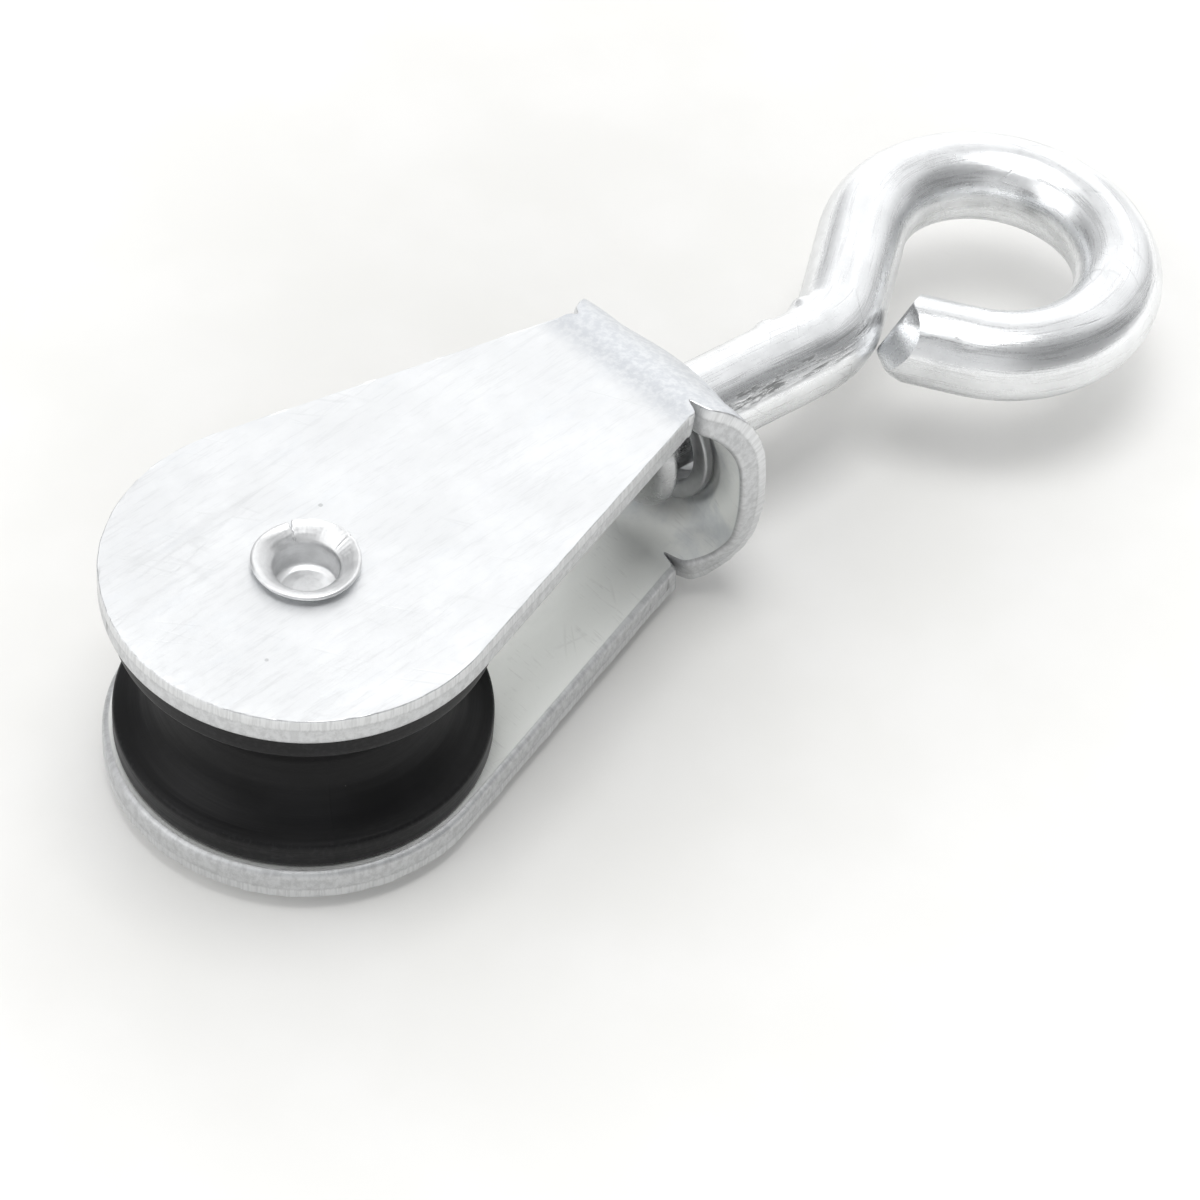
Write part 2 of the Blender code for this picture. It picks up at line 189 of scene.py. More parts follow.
def fan(ring, centre):
    """Triangles from a closed ring of point numbers to one centre point."""
    return np.stack([ring, np.roll(ring, -1), np.full(len(ring), centre)], axis=-1)


def strip(first, second):
    """Quads between two closed rings of point numbers that run side by side."""
    return np.stack([first, np.roll(first, -1), np.roll(second, -1), second], axis=-1)


def end_fans(rows, columns):
    """Triangles that close the first and the last ring of a grid, each to a point of its own,
    and these two points follow the grid's."""
    first = np.arange(columns)
    last = first + (rows - 1) * columns
    return np.concatenate([fan(first, rows * columns), fan(last, rows * columns + 1)])


def linked(name, data):
    """An object of the given data, in the scene."""
    obj = bpy.data.objects.new(name, data)
    bpy.context.scene.collection.objects.link(obj)
    return obj


def mesh_object(name, points, quads, triangles, material, attributes=None):
    """One closed, outward-facing, smooth mesh object from arrays of points and faces, with its
    vector attributes and its material."""
    mesh = bpy.data.meshes.new(name)
    faces = quads.tolist() + np.reshape(triangles, (-1, 3)).tolist()
    mesh.from_pydata(points.tolist(), [], faces)
    for label, values in (attributes or {}).items():
        layer = mesh.attributes.new(label, "FLOAT_VECTOR", "POINT")
        layer.data.foreach_set("vector", np.ascontiguousarray(values, dtype=np.float32).ravel())
    shell = bmesh.new()
    shell.from_mesh(mesh)
    bmesh.ops.recalc_face_normals(shell, faces=shell.faces)
    shell.to_mesh(mesh)
    shell.free()
    mesh.shade_smooth()
    mesh.materials.append(material)
    return linked(name, mesh)


def arc(centre, radius, start, end, steps):
    """Points on a circular arc: the centre plus the radius times (cos, sin) of an angle that
    runs evenly from start to end."""
    angle = np.linspace(start, end, steps + 1)
    return np.stack(
        [centre[0] + radius * np.cos(angle), centre[1] + radius * np.sin(angle)], axis=-1
    )


def smoothstep(value, low, high):
    """0 below low, 1 above high, and 3t^2 - 2t^3 between them."""
    t = np.clip((value - low) / (high - low), 0.0, 1.0)
    return t * t * (3.0 - 2.0 * t)


def bell(value, centre, width):
    """A Gaussian bell of height 1 about centre."""
    return np.exp(-(((value - centre) / width) ** 2))


def densified(profile, spacing):
    """Points every spacing or less along a polyline, its own corners kept."""
    pieces = []
    for start, end in zip(profile[:-1], profile[1:]):
        steps = max(1, int(math.ceil(np.linalg.norm(end - start) / spacing)))
        pieces.append(start + (end - start) * (np.arange(steps) / steps)[:, None])
    pieces.append(profile[-1:])
    return np.concatenate(pieces)


def rounded(profile, radius, closed, steps=5):
    """A polyline whose corners are replaced by arcs: each corner's two tangent points, a radius
    or less along its sides, joined by a quadratic curve that has the corner as its control."""
    count = len(profile)
    result = []
    for i in range(count):
        if not closed and i in (0, count - 1):
            result.append(profile[i : i + 1])
            continue
        corner = profile[i]
        before = profile[i - 1] - corner
        after = profile[(i + 1) % count] - corner
        before_length, after_length = np.linalg.norm(before), np.linalg.norm(after)
        cut = min(radius, before_length * 0.45, after_length * 0.45)
        a = corner + before / before_length * cut
        b = corner + after / after_length * cut
        t = np.linspace(0.0, 1.0, steps + 1)[:, None]
        result.append((1 - t) ** 2 * a + 2 * t * (1 - t) * corner + t**2 * b)
    return np.concatenate(result)


def turned_points(profile, angles, middle_z):
    """A profile of (radius, height) carried round the vertical axis: x and y are the radius
    times the cosine and sine of the angle, z is the height above the middle."""
    radius, height = profile[:, 0][:, None], profile[:, 1][:, None]
    return np.stack(
        [
            radius * np.cos(angles),
            radius * np.sin(angles),
            np.broadcast_to(middle_z + height, (len(profile), len(angles))),
        ],
        axis=-1,
    )


# ---------------------------------------------------------------- strap


def cheek_half_width(x):
    """Half width of a cheek at x: the circle of the cheek's radius up to where the straight
    side touches it, then the straight side, which runs to the cheek's tip."""
    reach = math.hypot(*CHEEK_TIP)
    touch = math.atan2(CHEEK_TIP[1], CHEEK_TIP[0]) + math.acos(CHEEK_RADIUS / reach)
    circle = np.sqrt(np.maximum(CHEEK_RADIUS**2 - x**2, 0.0))
    side = (CHEEK_RADIUS - x * math.cos(touch)) / math.sin(touch)
    return np.where(x < CHEEK_RADIUS * math.cos(touch), circle, side)


class Strap:
    """The flat blank of the strap and how it folds. Along the blank, s is 0 in the middle of
    the web; half the web is straight, then come a bend and a cheek."""

    def __init__(self, sizes):
        self.t = sizes.thickness
        self.bend = BEND_RADIUS - self.t / 2
        self.web = HALF_HEIGHT - BEND_RADIUS
        self.turn_end = self.web + self.bend * math.pi / 2
        self.ear = sizes.ear_half_width
        self.dish = sizes.dish_height

    def half_width(self, s):
        """Half width of the blank: the cheek's own, and between the bends an ear that bows
        outward from it."""
        s = np.abs(s)
        x = BEND_START_X - (s - self.turn_end)
        cheek = cheek_half_width(np.minimum(x, BEND_START_X))
        root = float(cheek_half_width(np.array(BEND_START_X)))
        ear_end = self.turn_end - EAR_STOP
        swell = np.maximum(1.0 - (s / ear_end) ** 2, 0.0) ** 0.95
        ear = root + (self.ear - root) * swell
        return np.where(s < ear_end, ear, cheek)

    def notch(self, s, side):
        """Depth of the narrow cut where ear and cheek meet, deeper on the -Y side."""
        cut = bell(np.abs(s), self.turn_end - 1.35 * MM, 0.42 * MM)
        return cut * np.where(side < 0.0, 1.6 * MM, 0.5 * MM)

    def folded(self, s, y, h):
        """Where a point of the blank goes: h is its height over the middle surface, outward.
        Past the web it turns about the bend's centre by arc length over bend radius, and past
        the bend it runs straight back. Then the dish pushes it along +X."""
        side = np.sign(s)
        run = np.abs(s)
        turn = np.clip((run - self.web) / self.bend, 0.0, math.pi / 2)
        back = np.maximum(run - self.turn_end, 0.0)
        reach = self.bend + h
        x = BEND_START_X + reach * np.cos(turn) - back
        z = np.minimum(run, self.web) + reach * np.sin(turn)
        middle = np.minimum(run, self.web) + self.bend * np.sin(turn)
        x = x + self.pressed(y, middle, h)
        return np.stack([x, y, MID_Z + side * z], axis=-1)

    def pressed(self, y, z, h):
        """Height of the dish: its full height times u to the power 1.45, where u is 1 in the
        middle and falls with the square of the distance. Inside, a shallow flat seat is
        coined a little deeper, and the ears lean back towards the sheave."""
        distance = (y / DISH_REACH_Y) ** 2 + (z / DISH_REACH_Z) ** 2
        dish = self.dish * np.maximum(1.0 - distance, 0.0) ** 1.45
        radius = np.sqrt(y**2 + (z * 1.12) ** 2)
        inside = smoothstep(-h, 0.0, self.t / 2)
        seat = SEAT_DEPTH * inside * (1.0 - smoothstep(radius, SEAT_RADIUS, SEAT_RADIUS + 0.65 * MM))
        lean = EAR_LEAN * smoothstep(np.abs(y), 7.5 * MM, 13.0 * MM)
        near_web = 1.0 - smoothstep(z, 6.5 * MM, 10.5 * MM)
        return dish + seat - lean * near_web


def blank_grid(strap, inset):
    """The blank as a grid of (s, y). Each cheek's round end is the half disc that the square
    p, b maps to: x = -r p sqrt(1 - b^2 / 2) and y = r b sqrt(1 - p^2 / 2)."""
    b = np.linspace(-1.0, 1.0, 97)[None, :]
    p = np.linspace(1.0, 0.0, 26)[:, None]
    radius = CHEEK_RADIUS - inset
    end_x = -radius * p * np.sqrt(1.0 - b**2 / 2)
    end_y = radius * b * np.sqrt(1.0 - p**2 / 2)
    axle_s = strap.turn_end + BEND_START_X
    end_s = axle_s - end_x
    stops = (axle_s, strap.turn_end + 0.2 * MM, strap.turn_end - 2.9 * MM, 0.0)
    parts = zip(stops[:-1], stops[1:], (46, 27, 38))
    straight = np.concatenate([np.linspace(a, b, count)[1:] for a, b, count in parts])[:, None]
    straight_y = b * (strap.half_width(straight) - inset - strap.notch(straight, b))
    half_s = np.concatenate([end_s, np.broadcast_to(straight, straight_y.shape)])
    half_y = np.concatenate([end_y, straight_y])
    s = np.concatenate([half_s, -half_s[-2::-1]])
    y = np.concatenate([half_y, half_y[-2::-1]])
    return s, y


def border(rows, columns):
    """Point numbers round the edge of a grid, in order."""
    top = np.arange(columns)
    right = np.arange(1, rows) * columns + columns - 1
    bottom = (rows - 1) * columns + np.arange(columns - 2, -1, -1)
    left = np.arange(rows - 2, 0, -1) * columns
    return np.concatenate([top, right, bottom, left])


def ragged(count, spacing, seed):
    """A closed random line: one normal random value every spacing points, joined smoothly."""
    knots = np.random.default_rng(seed).normal(size=max(4, count // spacing))
    place = np.arange(count) / count * len(knots)
    left = np.floor(place).astype(int)
    t = smoothstep(place - left, 0.0, 1.0)
    return knots[left % len(knots)] * (1 - t) + knots[(left + 1) % len(knots)] * t


def wall_rings(half, outer, inner):
    """The strap's edge in section, from the outer face to the inner one: how deep inside the
    outline each ring lies, and its height. It is a small quarter circle, a straight, a larger
    quarter circle, and a last ring just short of the inner face."""
    steps = np.linspace(0.0, math.pi / 2, 6)[1:]
    rings = [(outer * (1 - math.sin(a)), half - outer * (1 - math.cos(a))) for a in steps]
    rings += [(0.0, h) for h in np.linspace(half - outer, inner - half, 9)[1:-1]]
    turns = steps - steps[0]
    rings += [(inner * (1 - math.cos(a)), inner - half - inner * math.sin(a)) for a in turns]
    return rings[:-1] + [(inner * 0.8, -half * 0.996)]


def strap_mesh(sizes, material):
    """Two offset copies of the folded blank, joined round their borders by a wall: each ring
    is the border moved along its own normal to the depth that the edge's section gives. The
    outer corner is burred and the torn lower half of the wall is pitted, both at random."""
    strap = Strap(sizes)
    half = strap.t / 2
    s, y = blank_grid(strap, sizes.burr_round)
    low_s, low_y = blank_grid(strap, sizes.edge_round)
    rows, columns = s.shape
    size = rows * columns
    edge = border(rows, columns)
    flat = np.stack([s.ravel(), y.ravel()], axis=-1)
    low = np.stack([low_s.ravel(), low_y.ravel()], axis=-1)
    rim = flat[edge]
    tangent = np.roll(rim, -2, axis=0) - np.roll(rim, 2, axis=0)
    normal = np.stack([tangent[:, 1], -tangent[:, 0]], axis=-1)
    normal /= np.linalg.norm(normal, axis=1)[:, None]
    if np.sum(normal * rim) < 0:
        normal = -normal
    outline = rim + normal * sizes.burr_round
    count = len(edge)
    around = np.cumsum(np.linalg.norm(rim - np.roll(rim, 1, axis=0), axis=1))
    burr, dents, torn = ragged(count, 2, 3), ragged(count, 5, 8), ragged(count, 3, 21)

    blanks = [np.column_stack([flat, np.full(size, half)])]
    for depth, height in wall_rings(half, sizes.burr_round, sizes.edge_round):
        upper = smoothstep(height, 0.6 * half, half)
        below = 1.0 - smoothstep(height, -0.55 * half, 0.1 * half)
        away = 0.025 * MM * (burr - 1.2) * upper
        away = away - 0.07 * MM * np.maximum(dents - 1.1, 0.0) * upper
        away = away - 0.012 * MM * np.abs(torn) * below * (depth < 0.01 * MM)
        lift = 0.02 * MM * burr * upper
        place = outline + normal * (away - depth)[:, None]
        blanks.append(np.column_stack([place, height + lift]))
    rings = len(blanks) - 1
    blanks.append(np.column_stack([low, np.full(size, -half)]))
    blank = np.concatenate(blanks)
    points = strap.folded(blank[:, 0], blank[:, 1], blank[:, 2])

    quads = [grid_quads(rows, columns)]
    previous = edge
    for k in range(rings):
        ring = size + k * count + np.arange(count)
        quads.append(strip(previous, ring))
        previous = ring
    far = size + rings * count
    quads.append(strip(previous, far + edge))
    quads.append(grid_quads(rows, columns) + far)

    drawn = np.zeros((len(points), 3))
    drawn[size:far, 0] = 1.0
    drawn[:, 1] = blank[:, 2] / half
    drawn[size:far, 2] = np.tile(around, rings)
    attributes = {"flat": blank, "edge": drawn}
    return mesh_object("strap", points, np.concatenate(quads), [], material, attributes)


def pierced(obj, cutter):
    """obj with cutter taken out of it, as one plain mesh."""
    cut = obj.modifiers.new("hole", "BOOLEAN")
    cut.operation = "DIFFERENCE"
    cut.solver = "EXACT"
    cut.object = cutter
    graph = bpy.context.evaluated_depsgraph_get()
    mesh = bpy.data.meshes.new_from_object(obj.evaluated_get(graph))
    obj.modifiers.clear()
    obj.data = mesh
    bpy.data.objects.remove(cutter, do_unlink=True)
    return obj


def hole_cutter(name, radius, low, high, lip, onto_x, material):
    """A round plug with a flared mouth at both ends, so that the hole it cuts has rounded
    edges: the radius grows by the lip as 1 - sqrt(1 - t^2) near each end."""
    t = np.linspace(0.0, 1.0, 7)
    flare = lip * (1.0 - np.sqrt(np.maximum(1.0 - t**2, 0.0)))
    heights = np.concatenate([low + lip - lip * t[::-1], high - lip + lip * t])
    radii = radius + np.concatenate([flare[::-1], flare])
    spread = lip * 2
    heights = np.concatenate([[low - spread], heights, [high + spread]])
    radii = np.concatenate([[radii[0] + spread], radii, [radii[-1] + spread]])
    angles = np.linspace(0.0, 2 * math.pi, 72, endpoint=False)
    rings = turned_points(np.column_stack([radii, heights]), angles, 0.0)
    rows, columns = rings.shape[:2]
    points = np.concatenate([rings.reshape(-1, 3), [[0, 0, heights[0]], [0, 0, heights[-1]]]])
    if onto_x:
        points = np.column_stack([points[:, 2], points[:, 1], MID_Z - points[:, 0]])
    quads = grid_quads(rows, columns, True)
    return mesh_object(name, points, quads, end_fans(rows, columns), material)


# ---------------------------------------------------------------- turned pieces


def ring_object(name, profile, angles, middle_z, material, dent=None):
    """A profile of (radius, height) turned about the axle: x and y are the radius times the
    cosine and sine of the angle. A profile that starts off the axis is a closed outline, and
    one that starts on it ends on it too. dent may move the points, given the radius, the height
    and the angle of each one."""
    rows, columns = len(profile), len(angles)
    theta = np.broadcast_to(angles, (rows, columns))
    radius, height = (np.broadcast_to(line[:, None], theta.shape) for line in profile.T)
    if dent:
        radius, height = dent(radius, height, theta)
    points = np.stack(
        [radius * np.cos(theta), radius * np.sin(theta), middle_z + height], axis=-1
    )
    turned = np.stack([radius, height, theta], axis=-1)
    if profile[0, 0] > 0.0:
        quads = grid_quads(rows + 1, columns, True) % (rows * columns)
        points, turned, ends = points.reshape(-1, 3), turned.reshape(-1, 3), []
    else:
        quads = grid_quads(rows - 2, columns, True)
        points, turned = (
            np.concatenate([values[1:-1].reshape(-1, 3), values[[0, -1], 0]])
            for values in (points, turned)
        )
        ends = end_fans(rows - 2, columns)
    return mesh_object(name, points, quads, ends, material, {"turned": turned})


def sheave_profile(sizes):
    """Half the section of the sheave: bore, faces with a shallow recess, rims, and a groove
    that is one circular arc. The corners between them are rounded."""
    half = SHEAVE_HALF_WIDTH + SHEAVE_FIT
    groove_half = half - sizes.rim_width
    depth = SHEAVE_RADIUS - sizes.groove_radius
    groove = (groove_half**2 + depth**2) / (2 * depth)
    spread = math.asin(groove_half / groove)
    centre = (sizes.groove_radius + groove, 0.0)
    hollow = arc(centre, groove, math.pi - spread, math.pi + spread, 12)
    face = np.array(
        [
            (sizes.bore_radius, half),
            (RECESS_INNER, half),
            (RECESS_INNER + RECESS_DEPTH, half - RECESS_DEPTH),
            (RECESS_OUTER - RECESS_DEPTH, half - RECESS_DEPTH),
            (RECESS_OUTER, half),
            (SHEAVE_RADIUS, half),
        ]
    )
    section = np.concatenate([face, hollow, face[::-1] * (1, -1)])
    return densified(rounded(section, 0.32 * MM, True, 4), 0.35 * MM)


def uneven_angles(count, places, extra, width):
    """Evenly spaced angles, with extra ones close round the given places."""
    even = np.linspace(0.0, 2 * math.pi, count, endpoint=False)
    close = [place + np.linspace(-width, width, extra) for place in places]
    return np.unique(np.round(np.mod(np.concatenate([even, *close]), 2 * math.pi), 6))


def build_sheave(sizes, material):
    """The sheave, with a hair-thin mould line down its groove on two opposite sides."""
    lines = (math.radians(238.0), math.radians(58.0))

    def dent(radius, height, theta):
        """Raises the mould lines."""
        ridge = sum(bell(theta, line, math.radians(0.35)) for line in lines)
        free = smoothstep(radius, sizes.bore_radius + 1.0 * MM, sizes.groove_radius)
        return radius + 0.022 * MM * ridge * free, height

    angles = uneven_angles(220, lines, 9, math.radians(1.0))
    return ring_object("sheave_wheel", sheave_profile(sizes), angles, MID_Z, material, dent)


def rivet_profile(sizes, rim_low):
    """Half the section of the rivet, heights from the bottom of its flat head: head, shank,
    and a tube end that is rolled outward into a funnel with a rounded lip."""
    hole, rim, shank = sizes.hole_radius, sizes.rim_radius, sizes.shank_radius
    lip_top = rim_low + 0.95 * MM
    hole_low = lip_top - RIVET_HOLE_DEPTH
    points = [
        (0.0, hole_low),
        (hole - 0.5 * MM, hole_low),
        (hole, hole_low + 0.25 * MM),
        (hole, lip_top - 1.3 * MM),
        (hole + 0.10 * MM, lip_top - 1.0 * MM),
        (hole + 0.55 * MM, lip_top - 0.60 * MM),
        (hole + 1.15 * MM, lip_top - 0.20 * MM),
        (rim - 0.25 * MM, lip_top),
        (rim, lip_top - 0.14 * MM),
        (rim - 0.06 * MM, lip_top - 0.42 * MM),
        (rim - 0.65 * MM, lip_top - 0.62 * MM),
        (rim - 0.8 * MM, rim_low - 0.02 * MM),
        (shank, rim_low - 0.3 * MM),
        (shank, RIVET_HEAD_HEIGHT),
        (RIVET_HEAD_RADIUS, RIVET_HEAD_HEIGHT),
        (RIVET_HEAD_RADIUS, RIVET_HEAD_HEIGHT * 0.45),
        (RIVET_HEAD_RADIUS - 0.6 * MM, 0.0),
        (0.0, 0.0),
    ]
    corners = rounded(np.array(points), 0.16 * MM, False, 4)
    return densified(corners, 0.5 * MM)


def build_rivet(sizes, material):
    """The rivet. Its rolled rim is split at one place, nicked at another, and a little uneven
    all round."""
    rim_low = STRAP_HIGH.z - 0.02 * MM
    split, nick = math.radians(68.0), math.radians(-6.0)

    def dent(radius, height, theta):
        """Splits, nicks and roughens the rolled rim."""
        outer = smoothstep(height, rim_low - 0.1 * MM, rim_low + 0.35 * MM)
        outer = outer * smoothstep(radius, sizes.hole_radius, sizes.hole_radius + 0.7 * MM)
        offset = theta - split
        step = smoothstep(offset, -0.03, 0.02) * (1.0 - smoothstep(offset, 0.02, 0.9))
        gash = bell(offset, 0.0, 0.032)
        chip = bell(np.mod(theta - nick + math.pi, 2 * math.pi), math.pi, 0.02)
        far = smoothstep(np.cos(theta - 0.4), 0.2, 0.9)
        saw = 0.02 * MM * np.sin(41 * theta) * np.sin(17 * theta) * far
        uneven = 0.04 * MM * np.sin(3 * theta + 0.6) + saw
        moved = radius + outer * (uneven - 0.5 * MM * gash - 0.06 * MM * chip - 0.22 * MM * step)
        raised = height + outer * (0.12 * MM * step - 0.4 * MM * gash - 0.02 * MM * chip)
        return moved, raised

    angles = uneven_angles(240, (split, nick), 25, math.radians(5.0))
    return ring_object("axle_pin", rivet_profile(sizes, rim_low), angles, 0.0, material, dent)


def build_sleeve(sizes, material):
    """The spacer sleeve: a plain tube with its corners broken."""
    low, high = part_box("axle_sleeve")
    inner = sizes.shank_radius + 0.06 * MM
    top, bottom = high.z - 0.04 * MM, low.z + 0.04 * MM
    section = np.array([(inner, top), (high.x, top), (high.x, bottom), (inner, bottom)])
    profile = densified(rounded(section, 0.2 * MM, True, 3), 1.0 * MM)
    angles = np.linspace(0.0, 2 * math.pi, 96, endpoint=False)
    return ring_object("spacer_sleeve", profile, angles, 0.0, material)


def build_washer(sizes, material):
    """The washer, turned like the others and then stood on edge across the shank."""
    thick = WASHER_HIGH.x - WASHER_LOW.x
    outer = (WASHER_HIGH.y - WASHER_LOW.y) / 2
    inner = sizes.rod_radius + 0.8 * MM
    section = np.array([(inner, thick), (outer, thick), (outer, 0.0), (inner, 0.0)])
    profile = densified(rounded(section, 0.28 * MM, True, 4), 0.6 * MM) + (0.0, WASHER_SEATING)
    angles = np.linspace(0.0, 2 * math.pi, 96, endpoint=False)
    washer = ring_object("thrust_washer", profile, angles, 0.0, material)
    stand = Matrix(((0, 0, 1, WASHER_LOW.x), (0, 1, 0, 0), (-1, 0, 0, MID_Z), (0, 0, 0, 1)))
    washer.data.transform(stand)
    return washer


# ---------------------------------------------------------------- eye


def eye_axes():
    """The eye's own axes at rest: along the shank, across it in the loop's plane, and up."""
    level = math.cos(EYE_DROOP)
    along = Vector((level * math.cos(EYE_YAW), level * math.sin(EYE_YAW), -math.sin(EYE_DROOP)))
    side = Vector((0.0, 0.0, 1.0)).cross(along).normalized()
    up = along.cross(side)
    across = side * math.cos(EYE_ROLL) + up * math.sin(EYE_ROLL)
    return np.array([along, across, along.cross(across)])


def rod_path(sizes):
    """The rod's centreline as a heading that grows with the distance run: none in the shank,
    left through the neck, straight, then right all round the loop, and straight again at the
    end. The corners of the curvature are smoothed, and the heading's cosine and sine are
    summed to give the place. Returns the distance, place (along, across) and heading of each
    point, and the distances at which the five parts begin and end."""
    loop, neck = sizes.loop_radius, sizes.neck_radius
    rise = loop * math.cos(NECK_ANGLE) - neck * (1 - math.cos(NECK_ANGLE))
    straight = rise / math.sin(NECK_ANGLE)
    shank = (
        EYE_CENTRE_DISTANCE
        - (loop + neck) * math.sin(NECK_ANGLE)
        - straight * math.cos(NECK_ANGLE)
    )
    lengths = np.array([shank, neck * NECK_ANGLE, straight, loop * LOOP_SWEEP, TAIL_LENGTH])
    curvature = np.array([0.0, 1 / neck, 0.0, -1 / loop, 0.0])
    stops = np.concatenate([[0.0], np.cumsum(lengths)])
    step = 0.05 * MM
    run = np.arange(0.0, stops[-1], step)
    bent = curvature[np.clip(np.searchsorted(stops, run, side="right") - 1, 0, 4)]
    window = np.hanning(61)
    bent = np.convolve(np.pad(bent, 30, mode="edge"), window / window.sum(), mode="valid")
    heading = np.cumsum(bent) * step
    place = np.cumsum(np.column_stack([np.cos(heading), np.sin(heading)]), axis=0) * step
    return run, place, heading, stops


def head_radius(distance, sizes):
    """Radius of the upset head by its distance from the pivot, which is negative inside the
    strap: a flattened dome that falls to the rod's radius under the head."""
    t = np.clip((distance - HEAD_END) / (HEAD_LENGTH * 0.72), 0.0, 1.0)
    dome = sizes.upset_radius * np.sqrt(np.maximum(1.0 - (1.0 - t) ** 2, 0.0)) ** 0.9
    under = smoothstep(distance, HEAD_END + HEAD_LENGTH * 0.72, -HEAD_BACK + 0.1 * MM)
    return dome * (1 - under) + sizes.rod_radius * under


def pinch(b, c, radius):
    """How far the rod's cut end reaches at b across and c up, in rod radii: the lowest of five
    sloping planes, blended. e runs from the inside of the loop's top to the outside's bottom,
    and g at right angles to it. The first plane is the cut and the next two taper the nose; the
    last two are the dents that the cutter's jaws left beside it."""
    e = CUT_TURN[0] * b - CUT_TURN[1] * c
    g = CUT_TURN[1] * b + CUT_TURN[0] * c
    tapers = (0.5 * (e - 0.45), -0.8 * (e - 0.45), -2.6 * (e - 0.72))
    dents = (0.15 - 1.05 * g, 0.25 + 1.1 * g)
    blend = 0.04
    return radius * -blend * np.log(sum(np.exp(-plane / blend) for plane in tapers + dents))


def build_eye(sizes, material):
    """The rod: circles carried along its path, in the plane across the heading. The first
    rings swell into the upset head and close on its axis. The last ones run on to the
    pinched end, and close over it in shrinking rings whose reach is the pinch's."""
    run, place, heading, stops = rod_path(sizes)
    around = 72
    angle = np.linspace(0.0, 2 * math.pi, around, endpoint=False)
    swelling = 1 - np.cos(np.linspace(0.02, math.pi / 2, 30))
    head = HEAD_END + HEAD_LENGTH * 1.1 * swelling
    inside = np.concatenate([head, np.arange(head[-1] + 0.3 * MM, 0.0, 0.5 * MM)])
    picked = np.arange(0, len(run), 7)
    distance = np.concatenate([inside, run[picked]])
    centre = np.concatenate([np.column_stack([inside, np.zeros(len(inside))]), place[picked]])
    turn = np.concatenate([np.zeros(len(inside)), heading[picked]])
    radius = np.where(distance < 0.0, head_radius(distance, sizes), sizes.rod_radius)
    radius = radius[:, None] + rod_marks(distance[:, None], angle[None, :], stops)
    b, c = radius * np.cos(angle), radius * np.sin(angle)

    shrink = np.concatenate([[1.0], np.linspace(0.97, 0.04, 24)])[:, None]
    cap_b, cap_c = shrink * np.cos(angle), shrink * np.sin(angle)
    reach = np.maximum(pinch(cap_b, cap_c, sizes.rod_radius) + PINCH_LENGTH, 0.05 * MM)
    cap_e = CUT_TURN[0] * cap_b - CUT_TURN[1] * cap_c

    ahead = np.concatenate([np.zeros_like(b), reach])
    b = np.concatenate([b, cap_b * sizes.rod_radius])
    c = np.concatenate([c, cap_c * sizes.rod_radius])
    row = np.minimum(np.arange(len(b)), len(distance) - 1)
    cosine, sine = np.cos(turn)[row, None], np.sin(turn)[row, None]
    x = centre[row, :1] + ahead * cosine - b * sine
    y = centre[row, 1:] + ahead * sine + b * cosine
    local = np.stack([x, y, c], axis=-1)
    straight = np.stack([distance[row, None] + ahead, b, c], axis=-1)

    rows = len(local)
    start = [[HEAD_END, 0.0, 0.0]]
    flat = np.concatenate([local.reshape(-1, 3), start, [local[-1].mean(axis=0)]])
    texture = np.concatenate([straight.reshape(-1, 3), start, [straight[-1].mean(axis=0)]])
    cut = np.zeros((rows, around, 3))
    cut[-len(reach) + 1 :, :, 0] = 1.0
    cut[-len(reach) :, :, 1] = cap_e
    cut = np.concatenate([cut.reshape(-1, 3), [[0, 0, 0], [1, 0, 0]]])
    return mesh_object(
        "rod_eye",
        np.array(PIVOT) + flat @ eye_axes(),
        grid_quads(rows, around, True),
        end_fans(rows, around),
        material,
        {"straight": texture, "cut": cut},
    )


def rod_marks(distance, angle, stops):
    """Small changes of the rod's radius: two lips that the bending clamp raised outside the
    neck, a flat along the shank's side, a ding in the crown of the loop, and the nip of the
    cutter near the end."""
    neck_start, loop_start = stops[1], stops[3]
    outer = math.radians(40.0)
    lips = 0.34 * MM * bell(distance, neck_start - 2.9 * MM, 0.7 * MM)
    lips = lips + 0.55 * MM * bell(distance, neck_start + 2.4 * MM, 1.5 * MM)
    lips = lips * bell(angle, outer, 0.3)
    shank = smoothstep(distance, 1.0 * MM, 4.0 * MM)
    shank = shank * (1.0 - smoothstep(distance, neck_start - 1.0 * MM, neck_start + 3.0 * MM))
    flat = -0.10 * MM * shank * bell(angle, math.radians(150.0), 0.22)
    ding = -0.22 * MM * bell(distance, loop_start + 24.5 * MM, 0.9 * MM)
    ding = ding * bell(angle, math.radians(62.0), 0.25)
    nip = -0.14 * MM * bell(distance, stops[-1] - 0.9 * MM, 1.2 * MM)
    nip = nip * bell(angle, math.radians(52.0), 0.4)
    return lips + flat + ding + nip


# ---------------------------------------------------------------- materials


